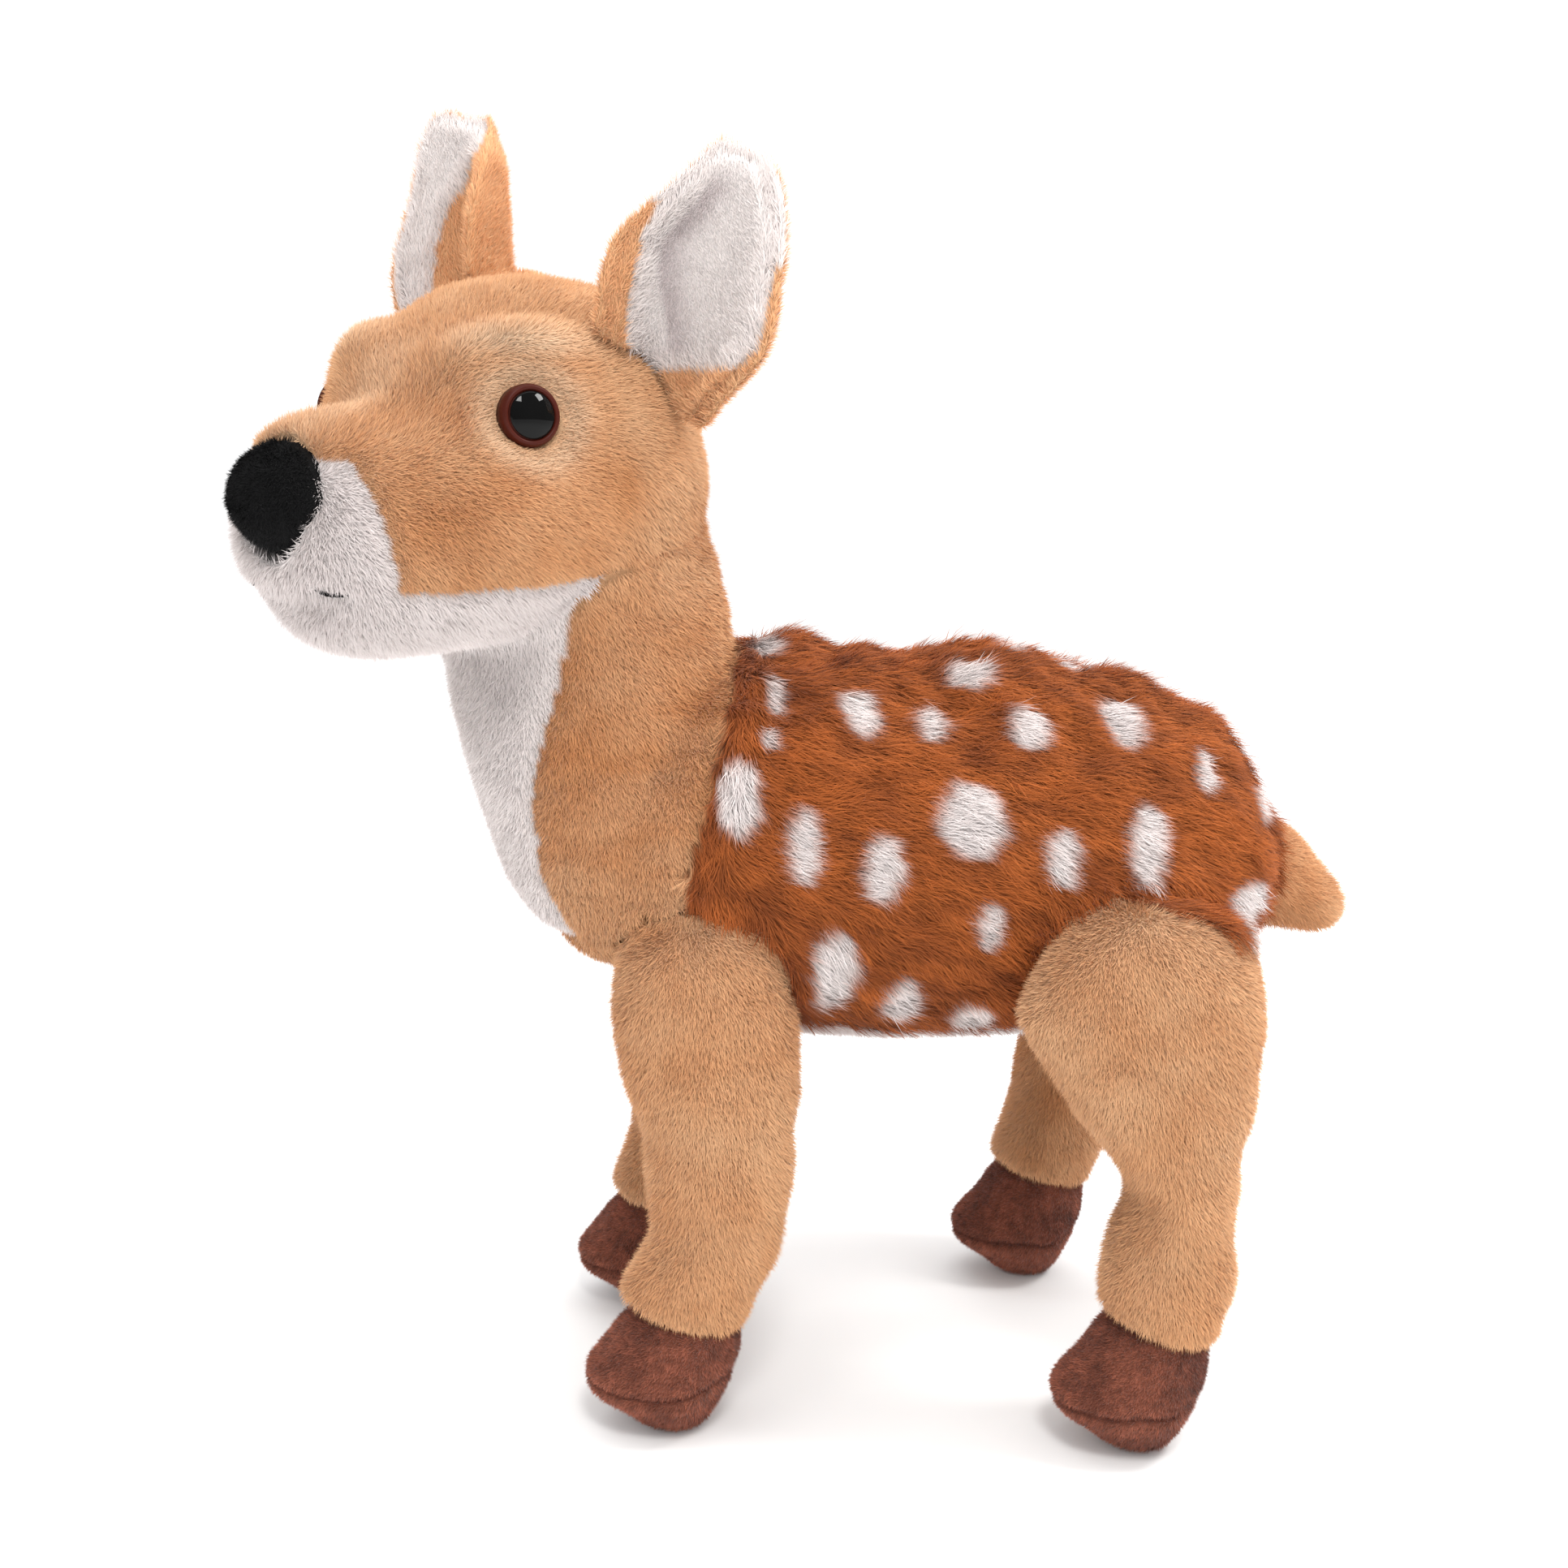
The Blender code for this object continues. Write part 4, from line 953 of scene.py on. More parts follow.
def long_pile(strand):
    """Return the settings of the saddle's pile, whose spots are printed on."""
    _, sizes, _ = settings()
    return pile_of(strand, sizes.long_per_mm, sizes.long, sizes.long_width, 0.50, 0.26, LIVELY, True)


# The trunk's panels by number, in the order of BODY_PANELS
TORSO, NECK, SADDLE, BELLY, BIB = range(len(BODY_PANELS))
# Depth, middle and spread of the loose forms of the trunk
BODY_FORMS = (
    (0.0034, (0.000, 0.038, 0.172), (0.030, 0.011, 0.020)),
    (0.0030, (0.000, 0.088, 0.162), (0.030, 0.020, 0.022)),
    (0.0018, (0.000, -0.012, 0.174), (0.030, 0.009, 0.020)),
    (-0.0055, (0.000, -0.064, 0.100), (0.050, 0.012, 0.012)),
    (0.0008, (0.006, -0.030, 0.180), (0.022, 0.012, 0.010)))
# The saddle's pile, cut into pieces by degrees round the back
SADDLE_CUTS = (
    ("saddle_pile_left", 95.0, 400.0), ("saddle_pile_flank_left", 45.0, 95.0),
    ("saddle_pile_top_left", 0.0, 45.0), ("saddle_pile_top_right", -45.0, 0.0),
    ("saddle_pile_flank_right", -95.0, -45.0), ("saddle_pile_right", -400.0, -95.0))
# Height and place of the bib's edge, up the neck
BIB_EDGE = ((0.108, -0.058), (0.125, -0.0660), (0.1395, -0.0676), (0.1528, -0.0660),
            (0.1673, -0.0622), (0.1845, -0.0590), (0.2000, -0.0560))
RUMP = (0.03, 0.106)            # behind and above this the trunk is the saddle's
BIB_WARMTH = 0.55               # share of the ear lining's warmer white in the bib; the lining's extra brightness is partly painted light
BELLY_SAG = 0.0052              # how far the stuffing fills the belly out
HEM_OVER_HIP = (0.100, 0.112)   # heights between which the hem starts to lie over the hips


# Operators, one for each piece or group of like pieces
class DEER_OT_body(bpy.types.Operator):
    """Make the stuffed trunk and neck with the saddle, bib and belly panels"""
    bl_idname = "deer.body"
    bl_label = "Body"

    def execute(self, context):
        _, sizes, _ = settings()
        palette = materials()
        skin = knitted("body_skin", BODY_PANELS, sizes.grid)
        mesh = skin.data
        cover = settled(mesh, "torso")
        panels = self.panels(mesh)
        self.stuffing(mesh, panels)
        apart = soft_skin(skin, panels, 1.0)
        places = numbers(mesh)
        tint = self.tint(places, panels, apart)
        comb, lap = self.comb(places, panels, apart)
        fluff = (0.70 + 0.30 * smooth(0.0, 0.003, apart)) * (1.0 + 0.10 * grain(places, 0.008, 17))
        fluff = np.where(panels == SADDLE, 0.92 + 0.28 * grain(places, 0.006, 19) + 0.35 * lap, fluff)
        rise = np.where(panels == SADDLE, 0.32 * grain(places, 0.0055, 20), 0.0)
        bedding(mesh, comb, np.clip(fluff, 0.45, 1.45), cover, tint, rise)

        short, long = short_strand(), long_strand()
        for seed, (node, panel, cloth, slot) in enumerate((
                ("neck", NECK, "plush", "tan"), ("bib", BIB, "white", "white"),
                ("belly", BELLY, "white", "white")), 1):
            name = node + "_pile"
            pile(name, part_of(mesh, panels == panel, name), palette[cloth], "torso", slot,
                 (node,), Seed=seed, **short_pile(short))
        around = np.degrees(np.arctan2(places[:, 0], places[:, 2] - BACK_LEVEL))
        for seed, (name, low_turn, high_turn) in enumerate(SADDLE_CUTS, 5):
            keep = (panels == SADDLE) & (around >= low_turn) & (around < high_turn)
            pile(name, part_of(mesh, keep, name), palette["saddle"], "torso", "rust",
                 ("saddle",), Seed=seed, **long_pile(long))
        backed(skin, tint, BACKING_SHADE, "torso", "tan", "torso", "neck", "saddle", "belly", "bib")
        forget(short, long)
        return {"FINISHED"}

    def panels(self, mesh):
        """Return each vertex's panel: the bib has an edge of its own, and the rump is the saddle's."""
        panels = panel_of(mesh, BODY_PANELS, 0.0005, 3)
        panels[panels == TORSO] = NECK
        places = numbers(mesh)
        edge = along_table(places[:, 2], BIB_EDGE)
        front = places[:, 1] < edge + 0.0006 * grain(places, 0.006, 15)
        panels = np.where((panels == BIB) & ~front, NECK, panels)
        panels = np.where((panels == NECK) & front & (places[:, 2] > BIB_EDGE[0][0]), BIB, panels)
        panels[(places[:, 1] > RUMP[0]) & (places[:, 2] > RUMP[1])] = SADDLE
        return panels

    def stuffing(self, mesh, panels):
        """Fill the belly and the back out, as loose stuffing does, and crease the neck."""
        places = numbers(mesh)
        under = smooth(BACK_LEVEL - 0.012, BACK_LEVEL - 0.032, places[:, 2])
        under *= band(places[:, 1], -0.045, -0.020, 0.06, 0.085)
        bulge = BELLY_SAG * under
        for depth, middle, spread in BODY_FORMS:
            bulge += depth * mound(places, middle, spread)
        top = smooth(BACK_LEVEL + 0.012, BACK_LEVEL + 0.030, places[:, 2])
        waves = (0.0009 + 0.0010 * top) * grain(places, 0.014, 16)
        crease = 0.0007 * bell(grain(places * (0.5, 0.6, 1.6), 0.022, 18), 0.0, 0.16)
        bulge += np.where(panels == SADDLE, waves, 0.0)
        bulge -= np.where(panels == NECK, crease, 0.0)
        press(mesh, -bulge)

    def tint(self, places, panels, apart):
        """Return the colour of the cloth: tan, spotted rust or white."""
        colours, _, _ = settings()
        seam = 0.5 * bell(apart, 0.0, 0.003) * (1.0 - spot_share(places))
        rust = mixed(saddle_cloth(places), colours.rust_deep, seam)
        white = mixed(colours.white, colours.lining, np.where(panels == BIB, BIB_WARMTH, 0.0))
        pale = np.where((panels >= BELLY)[:, None], white, tan_cloth(places))
        return np.where((panels == SADDLE)[:, None], rust, pale)

    def comb(self, places, panels, apart):
        """Return the way the pile lies and how far the saddle's laps over the hips."""
        side = np.sign(places[:, 0] + 1e-9)
        ones = np.ones(len(places))
        wave, clump = grain(places, BRUSHED, 13), grain(places, 0.0045, 14)
        low = smooth(BACK_LEVEL + 0.010, BACK_LEVEL - 0.025, places[:, 2])
        front = smooth(0.009, 0.003, apart) * smooth(-0.012, -0.020, places[:, 1])
        back = np.stack([0.25 * side, ones,
                         -0.22 - 0.45 * low + 0.35 * wave + (0.30 + 0.45 * low) * clump], 1)
        back[:, 2] -= 0.35 * smooth(0.0, -0.035, places[:, 1]) + 0.5 * front
        back[:, 1] -= 1.5 * front * (0.6 + 0.8 * clump)
        hip = np.minimum(*(reach_of(whole_form()["pieces"]["leg_hind_" + name], places)
                           for name, _ in SIDES))
        lap = smooth(0.007, 0.002, hip) * smooth(*HEM_OVER_HIP, places[:, 2])
        over = np.stack([0.9 * side, 0.35 + 0.3 * wave, -1.0 + 0.3 * clump], 1)
        back = back * (1.0 - lap[:, None]) + over * lap[:, None]
        down = np.stack([0.1 * side + 0.3 * wave, 0.45 + 0.25 * wave, -ones], 1)
        return np.where((panels == SADDLE)[:, None], back, down), lap


# Height, middle and spread of the soft forms of the face, from between the eyes, and the share
# of each that its left side takes
FACE_FORMS = (
    (0.0048, (0.0085, 0.0190, 0.0125), (0.0078, 0.0080, 0.0056), 0.85),
    (0.0026, (-0.0050, 0.0245, 0.0150), (0.0100, 0.0080, 0.0045), 1.0),
    (0.0013, (-0.0020, 0.0280, 0.0135), (0.0120, 0.0080, 0.0022), 1.0),
    (-0.0013, (0.0000, 0.0260, 0.0190), (0.0140, 0.0080, 0.0022), 1.0),
    (0.0010, (0.0040, 0.0310, -0.0200), (0.0110, 0.0110, 0.0110), 1.0),
    (-0.0058, (0.0210, 0.0155, 0.0005), (0.0095, 0.0090, 0.0062), 0.30),
    (-0.0024, (0.0118, 0.0245, -0.0005), (0.0075, 0.0070, 0.0058), 0.30),
    (-0.0026, (0.0170, 0.0040, 0.0030), (0.0080, 0.0080, 0.0060), 0.55),
    (-0.0034, (0.0370, 0.0100, -0.0400), (0.0080, 0.0120, 0.0060), 1.0),
    (-0.0036, (-0.0575, 0.0230, -0.0010), (0.0130, 0.0160, 0.0095), 1.0))
# Share, middle and spread of the painted highlight on the brow, and of the painted shade in the hollow before
# an eye and the deeper tan behind it
BROW_HIGHLIGHT = (1.0, (-0.001, 0.026, 0.0143), (0.0125, 0.012, 0.0030))
EYE_HOLLOW_SHADE_AND_TAN = (
    (0.55, (0.0115, 0.024, -0.0010), (0.0055, 0.008, 0.0045)),
    (0.35, (-0.011, 0.031, 0.0100), (0.0050, 0.008, 0.0028)))
EYE_ASIDE = 0.032               # how far an eye's middle stands from the head's
PALE_RING = (0.0095, 0.0030)    # radius and spread of the pale fur round an eye
SOCKET_RING = (0.0078, 0.0026)  # radius and spread of an eye's socket
CHEEK = (-0.016, 0.013)         # height and spread of the deeper tan of the cheeks


def mirrored(middle, side):
    """Return a middle on the left side, or its mirror image on the right."""
    return middle[0], side * middle[1], middle[2]


def from_eye(local, side):
    """Return how far each place is from the middle of an eye."""
    return np.linalg.norm(local - (0.0, side * EYE_ASIDE, 0.0), axis=1)


class DEER_OT_head(bpy.types.Operator):
    """Make the stuffed head with its white muzzle"""
    bl_idname = "deer.head"
    bl_label = "Head"

    def execute(self, context):
        _, sizes, _ = settings()
        palette = materials()
        skin = knitted("head_skin", HEAD_PANELS, sizes.grid * 0.85)
        mesh = skin.data
        others = [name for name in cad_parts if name.startswith(("ear", "eye", "nose"))]
        cover = settled(mesh, "head") * open_share(mesh, others, 0.003)
        self.face(mesh)
        white = self.muzzle(in_head(numbers(mesh)))
        apart = soft_skin(skin, white, 0.8)
        places = numbers(mesh)
        local = in_head(places)
        tint = self.tint(places, local, white)
        fluff = (0.68 + 0.32 * smooth(0.0, 0.0025, apart)) * (1.0 + 0.10 * grain(places, 0.008, 29))
        for _, side in SIDES:
            fluff *= 0.35 + 0.65 * smooth(0.0060, 0.0115, from_eye(local, side))
        for side, _ in SIDES:
            near = reach_of(finder("mouth_stitch_" + side), places)
            fluff *= 0.35 + 0.65 * smooth(0.0004, 0.0024, near)
            cover *= smooth(0.0003, 0.0007, near)
        bedding(mesh, self.comb(places, local, white), np.clip(fluff, 0.15, 1.4), cover, tint,
                0.15 * grain(places, 0.006, 30))

        short = short_strand()
        pile("head_pile", part_of(mesh, white == 0, "head_pile"), palette["plush"], "head",
             "tan", ("head",), Seed=31, **short_pile(short))
        pile("muzzle_pile", part_of(mesh, white == 1, "muzzle_pile"), palette["white"],
             "head", "white", ("muzzle",), Seed=32, **short_pile(short))
        backed(skin, tint, BACKING_SHADE, "head", "tan", "head", "muzzle")
        forget(short)
        return {"FINISHED"}

    def face(self, mesh):
        """Raise the brows and the cheeks, and sink the eyes' sockets and the bridge."""
        local = in_head(numbers(mesh))
        lift = np.zeros(len(local))
        for name, side in SIDES:
            for depth, middle, spread, left_share in FACE_FORMS:
                depth *= left_share if name == "left" else 1.0
                lift += depth * mound(local, mirrored(middle, side), spread)
            lift -= 0.0012 * bell(from_eye(local, side), *SOCKET_RING)
        folds = np.sin(local[:, 2] / 0.0018 + local[:, 0] / 0.012)
        brow = mound(local[:, (0, 2)], (-0.010, 0.016), (0.012, 0.007))
        press(mesh, -(lift + 0.00045 * folds * brow))

    def muzzle(self, local):
        """Return 1 on the white muzzle and under the jaw and 0 on the tan head."""
        local = local / MM + 0.35 * grain(local, 0.005, 22)[:, None]
        ahead, up = local[:, 0], local[:, 2]
        snout = (ahead > 24.8 + 0.27 * (up + 33.0)) & (up < -9.3)
        back = np.maximum(-ahead, 0.0)
        jaw = (up < -34.1 + 0.055 * back + 0.14 * np.maximum(back - 13.0, 0.0)) & (ahead > -27.0)
        return np.where(snout | jaw, 1, 0)

    def tint(self, places, local, white):
        """Return the colour of the cloth: tan, deeper on the cheeks, pale round the eyes, or white, with a
        painted highlight on the brows and painted shade in the hollow before each eye.
        """
        colours, _, _ = settings()
        cheek = bell(local[:, 2], *CHEEK) * smooth(0.012, 0.028, abs(local[:, 1]))
        deep = 0.42 * cheek * smooth(-0.030, -0.020, local[:, 0])
        pale = 0.35 * smooth(0.012, 0.004, abs(local[:, 1])) * smooth(0.0, 0.01, local[:, 0])
        for _, side in SIDES:
            pale = np.maximum(pale, 0.70 * bell(from_eye(local, side), *PALE_RING))
            # painted highlight along the brow ridge
            share, middle, spread = BROW_HIGHLIGHT
            pale = np.maximum(pale, share * mound(local, mirrored(middle, side), spread))
            # painted shade in the hollow before the eye, and deeper tan behind it
            for share, middle, spread in EYE_HOLLOW_SHADE_AND_TAN:
                deep += share * mound(local, mirrored(middle, side), spread)
        tan = mixed(tan_cloth(places, deep), colours.tan_pale, pale)
        return np.where((white == 1)[:, None], np.array(colours.white), tan)

    def comb(self, places, local, white):
        """Return the way the pile lies: back from the nose, and down at the nape."""
        outward = np.clip(abs(local[:, 1]) / 0.03, 0.0, 1.0)
        comb = np.tile(-np.array(HEAD_FRONT), (len(places), 1))
        comb[:, 2] += 0.18 * grain(places, 0.012, 27) - 0.55 * outward * smooth(0.02, -0.02, local[:, 2])
        comb[white == 1, 2] -= 0.3
        nape = head_stretch(local, NAPE_COMB)[:, None]
        return comb * (1.0 - nape) + nape * (0.1, 0.45, -1.0)


NOSE_FOOT = 0.0115              # from the nose's middle down to the point of its foot
NOSE_ASIDE, NOSE_LIFT = 0.0008, 0.0016  # how far the nose sits to its left, and its foot up
PLY_RADIUS, PLY_TURN = 0.00030, 0.00022 # radius of a ply of thread, and of its turns
STITCH_STEPS, STITCH_TURNS = 40, 3.5
STITCH_RISE, STITCH_SINK = 0.0011, 0.0005   # how far a stitch stands out, and its ends lie in


class DEER_OT_nose(bpy.types.Operator):
    """Make the black nose and the mouth's stitches"""
    bl_idname = "deer.nose"
    bl_label = "Nose and mouth"

    def execute(self, context):
        colours, sizes, _ = settings()
        skin = knitted("nose_skin", ("nose",), 0.0008, 3)
        mesh = skin.data
        self.point(mesh)
        places = numbers(mesh)
        comb = drift(places, 0.004, 41)
        comb[:, 2] -= 0.8
        bedding(mesh, comb, 1.0 + 0.3 * grain(places, 0.003, 45),
                open_share(mesh, ("head", "muzzle"), 0.002), np.tile(colours.black, (len(places), 1)))
        short = short_strand()
        pile("nose_pile", mesh.copy(), materials()["nose"], "head", "black", ("nose",), Seed=41,
             **pile_of(short, 14.0, sizes.nose, 0.00016, 0.85, 0.6, 0.4))
        forget(short)
        dressed(skin, "head", "black", [materials()["nose_cloth"]], "nose")
        face = tree_of(bpy.data.objects["head_skin"].data)
        for side, _ in SIDES:
            self.stitch(side, face)
        return {"FINISHED"}

    def point(self, mesh):
        """Widen the top of the nose and draw its foot to a point."""
        places = numbers(mesh)
        away = in_head(places)
        away -= away.mean(0)
        point = np.clip(-away[:, 2] / NOSE_FOOT, 0.0, 1.0) ** 1.5
        places += np.outer(away[:, 1] * (0.18 - 0.50 * point) + NOSE_ASIDE, np.array(HEAD_LEFT))
        places[:, 2] += NOSE_LIFT * point
        place_all(mesh, places)

    def stitch(self, side, face):
        """Twist two plies of thread along the sewn stitch, on the muzzle's skin."""
        node, name = "mouth_stitch_" + side, "mouth_thread_" + side
        places = cad_places(node)
        middle = Vector(places.mean(0))
        axis = Vector(np.linalg.svd(places - places.mean(0))[2][0])
        reach = (places - places.mean(0)) @ np.array(axis)
        outward = middle - HEAD_MIDDLE
        outward -= axis * outward.dot(axis)
        across = axis.cross(outward.normalized())
        curve = bpy.data.curves.new(name, "CURVE")
        curve.dimensions = "3D"
        curve.bevel_depth = PLY_RADIUS
        curve.bevel_resolution = 2
        for ply in (0.0, math.pi):
            line = curve.splines.new("POLY")
            line.points.add(STITCH_STEPS)
            for i, point in enumerate(line.points):
                share = i / STITCH_STEPS
                turn = ply + share * math.tau * STITCH_TURNS
                lift = STITCH_RISE * math.sin(math.pi * share) - STITCH_SINK
                place, lie = face.find_nearest(middle + axis * (reach.min() + share * np.ptp(reach)))[:2]
                place += lie * (lift + PLY_TURN * math.cos(turn))
                place += across * PLY_TURN * math.sin(turn)
                point.co = (*place, 1.0)
        thing = link(name, curve)
        mesh = made(thing)
        forget(thing)
        bpy.data.curves.remove(curve)
        mesh.shade_smooth()
        dressed(link(name, mesh), "head", "black", [materials()["thread"]], node)


# A safety eye, in heights over its seat and in shares of its rim's radius
EYE_SEAT = 0.0054               # from its top down to its seat
PUPIL_SHARE, PUPIL_TOP, PUPIL_DROP = 0.75, 0.0038, 0.0013
LIP_SHARE, LIP_FOOT, LIP_RISE = 0.135, 0.0008, 0.0018
FLANGE_EDGE, FLANGE_BACK = -0.0008, -0.0010
SHANK_RADIUS, SHANK_END = 0.0020, -0.0104
PUPIL_STEPS, LIP_STEPS, EYE_STEPS = 12, 9, 56


class DEER_OT_eyes(bpy.types.Operator):
    """Make the safety eyes: a glossy pupil in a brown rim, on a shank"""
    bl_idname = "deer.eyes"
    bl_label = "Eyes"

    def execute(self, context):
        colours, _, _ = settings()
        pupil = plastic_material("eye_pupil", (0.004, 0.004, 0.004), 0.05, 0.3, 0.16)
        rim = plastic_material("eye_rim", colours.rim, 0.5, 0.5, 0.16)
        for side, _ in SIDES:
            node = "eye_" + side
            places = cad_places(node)
            middle = centre_of("washer_" + side)
            axis = (centre_of(node) - middle).normalized()
            line = np.array(axis)
            seat = middle + axis * ((places @ line).max() - middle.dot(axis) - EYE_SEAT)
            from_seat = places - np.array(seat)
            radius = np.linalg.norm(from_seat - np.outer(from_seat @ line, line), axis=1).max()
            thing = self.turned("safety_eye_" + side, self.profile(radius), seat, axis)
            dressed(thing, "head", "eye", [pupil, rim], node)
        return {"FINISHED"}

    def profile(self, radius):
        """Return an eye's profile, from the middle of its pupil to the end of its shank."""
        points = [(0.0, PUPIL_TOP)]
        points += [(radius * PUPIL_SHARE * share, PUPIL_TOP - PUPIL_DROP * share ** 2)
                   for share in np.linspace(0.08, 1.0, PUPIL_STEPS)]
        lip = radius * LIP_SHARE
        points += [(radius - lip - lip * math.cos(turn), LIP_FOOT + LIP_RISE * math.sin(turn))
                   for turn in np.linspace(0.55, math.pi - 0.1, LIP_STEPS)]
        return points + [(radius, FLANGE_EDGE), (SHANK_RADIUS, FLANGE_BACK), (SHANK_RADIUS, SHANK_END),
                         (0.0, SHANK_END)]

    def turned(self, name, profile, seat, axis):
        """Turn a profile round the eye's axis; its first rows get the pupil's material."""
        body = bmesh.new()
        place = Matrix.Translation(seat) @ axis.to_track_quat("Z", "Y").to_matrix().to_4x4()
        rings = []
        for radius, height in profile:
            turns = [math.tau * i / EYE_STEPS for i in range(EYE_STEPS)] if radius else [0.0]
            rings.append([body.verts.new(place @ Vector((
                radius * math.cos(turn), radius * math.sin(turn), height))) for turn in turns])
        for row, (upper, lower) in enumerate(zip(rings, rings[1:])):
            for i in range(EYE_STEPS):
                j = (i + 1) % EYE_STEPS
                if len(upper) == 1:
                    face = body.faces.new((upper[0], lower[i], lower[j]))
                elif len(lower) == 1:
                    face = body.faces.new((upper[j], upper[i], lower[0]))
                else:
                    face = body.faces.new((upper[i], lower[i], lower[j], upper[j]))
                face.material_index = 0 if row < PUPIL_STEPS else 1
                face.smooth = True
        bmesh.ops.recalc_face_normals(body, faces=body.faces)
        mesh = bpy.data.meshes.new(name)
        body.to_mesh(mesh)
        body.free()
        return link(name, mesh)


# The ears' leaves, in their own millimetres: up the leaf, across it and out of its hollow.
# The near ear's fold and the edges of its lining, as heights up the leaf and places across it
EAR_FOLD = ((16.0, -9.0), (24.0, -9.6), (31.0, -10.4), (37.0, -9.2), (43.0, -4.2), (48.0, -0.6),
            (52.0, 0.6))
LINING_EDGE = ((12.0, 9.0), (16.0, 13.4), (21.0, 14.4), (32.0, 15.2), (40.0, 40.0))
LINING_FOLD = ((12.0, -16.8), (20.0, -16.2), (30.0, -14.6), (38.0, -12.6), (44.0, -9.6), (46.0, -40.0))
LINING_FOOT = 11.6
# The far ear's turned-over edge, as heights up the leaf and places along TURNED_WAY
FAR_FOLD = ((12.0, -36.0), (20.0, -32.0), (27.0, -29.0), (36.0, -13.0), (41.0, 9.0), (47.0, 20.0),
            (52.0, 40.0))
TURNED_WAY = (0.68, 2.79, -4.63)
EAR_TAN = (1.22, 1.20, 1.16)    # how much paler the ears' tan is than the head's


class DEER_OT_ears(bpy.types.Operator):
    """Make the leaf ears: tan backs and folded edges, white hollows and a fluffy rim"""
    bl_idname = "deer.ears"
    bl_label = "Ears"

    def execute(self, context):
        colours, sizes, _ = settings()
        palette = materials()
        short = short_strand()
        for order, (side, _) in enumerate(SIDES):
            ear, lining = "ear_" + side, "ear_lining_" + side
            skin = knitted("ear_skin_" + side, (ear, lining), 0.0009, 5)
            mesh = skin.data
            places = numbers(mesh)
            near = reach_of(finder(lining), places) / MM
            low, turn = self.frame(places, numbers(mesh, "normal")[near < 0.5])
            leaf = self.shape((places - low) @ turn.T / MM, side)
            places = low + leaf @ turn * MM
            place_all(mesh, places)
            facing = numbers(mesh, "normal") @ turn[2]
            inside = self.hollow(leaf, near + 0.3 * grain(places, 0.005, 51 + order), facing, side)
            deep = smooth(0.0015, 0.006, edge_distance(mesh, inside.astype(int)))
            press(mesh, 0.0002 * grain(places, 0.01, 55))
            places = numbers(mesh)
            # the lining's white is partly painted light, and the hollow colour is painted shade in the fold
            white = mixed(colours.lining, colours.hollow, self.fold(leaf, side))
            tint = np.where(inside[:, None], white, tan_cloth(places, -0.25) * EAR_TAN)
            comb = np.tile(turn[0], (len(places), 1)) + 0.35 * drift(places, 0.009, 61)
            fluff = np.where(inside, 1.05 - 0.70 * deep, 0.85) * (1.0 + 0.12 * grain(places, 0.006, 65))
            others = [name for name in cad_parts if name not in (ear, lining) and "washer" not in name]
            bedding(mesh, comb, fluff, open_share(mesh, others, 0.0015), tint,
                    0.15 * grain(places, 0.006, 66))
            every = short_pile(short)
            pile("ear_pile_" + side, part_of(mesh, ~inside, "bed"), palette["plush"],
                 ear, "tan", (ear,), Seed=51 + order, **every)
            every["Length"] = sizes.fringe
            pile("ear_lining_pile_" + side, part_of(mesh, inside, "bed"), palette["white"],
                 ear, "white", (lining,), Seed=55 + order, **every)
            backed(skin, tint, THIN_BACKING_SHADE, ear, "tan", ear, lining)
        forget(short)
        return {"FINISHED"}

    def frame(self, places, facing):
        """Return the leaf's foot and its axes: up the leaf, across it and out of its hollow."""
        low, high = places[places[:, 2].argmin()], places[places[:, 2].argmax()]
        along = (high - low) / np.linalg.norm(high - low)
        out = facing.mean(0)
        out -= along * out.dot(along)
        out /= np.linalg.norm(out)
        return low, np.array([along, np.cross(along, out), out])

    def shape(self, leaf, side):
        """Lean the tip of an ear over as its stitching pulls it."""
        up, across, out = leaf.T.copy()
        if side == "left":
            narrow = np.where(across < 0.0, 0.62 * smooth(34.0, 57.0, up), 0.11 * smooth(18.0, 30.0, up))
            foot = smooth(16.0, 3.0, up) * smooth(-6.0, 3.0, across)
            return np.stack([up + 2.2 * foot, across * (1.0 - narrow) - 1.8 * foot, out], 1)
        edge = smooth(2.0, -8.0, across)
        tip = smooth(30.0, 57.0, up) * edge
        lifted = 4.4 * smooth(0.0, -12.0, across) * smooth(38.0, 52.0, up)
        lifted -= 3.0 * smooth(-1.0, 5.0, across) * smooth(44.0, 56.0, up)
        return np.stack([up + lifted, across - 6.0 * tip - 1.2 * edge, out + 2.5 * tip + 1.2 * edge], 1)

    def hollow(self, leaf, near, facing, side):
        """Return which vertices carry the white lining."""
        up, across, _ = leaf.T
        if side == "left":
            shell = (near < 0.5) | (facing > 0.10)
            above = up > LINING_FOOT + 0.10 * np.maximum(across, 0.0)
            beside = (across > along_table(up, LINING_FOLD)) & (across < along_table(up, LINING_EDGE))
            return shell & above & beside
        rim = 0.5 + 2.6 * smooth(40.0, 48.0, up)
        rim = np.maximum(rim, 2.6 * smooth(-3.0, -6.0, across))
        return (near < rim) & (leaf @ np.array(TURNED_WAY) < along_table(up, FAR_FOLD))

    def fold(self, leaf, side):
        """Return how far each vertex lies in the shade of the leaf's own fold."""
        up, across, _ = leaf.T
        if side == "right":
            return 0.08 * smooth(52.0, 20.0, up)
        beside = across - along_table(up, EAR_FOLD)
        width = np.where(beside > 0.0, 3.6, 1.0)
        return 0.75 * bell(beside, 0.0, width) * band(up, 13.0, 18.0, 46.0, 52.0)


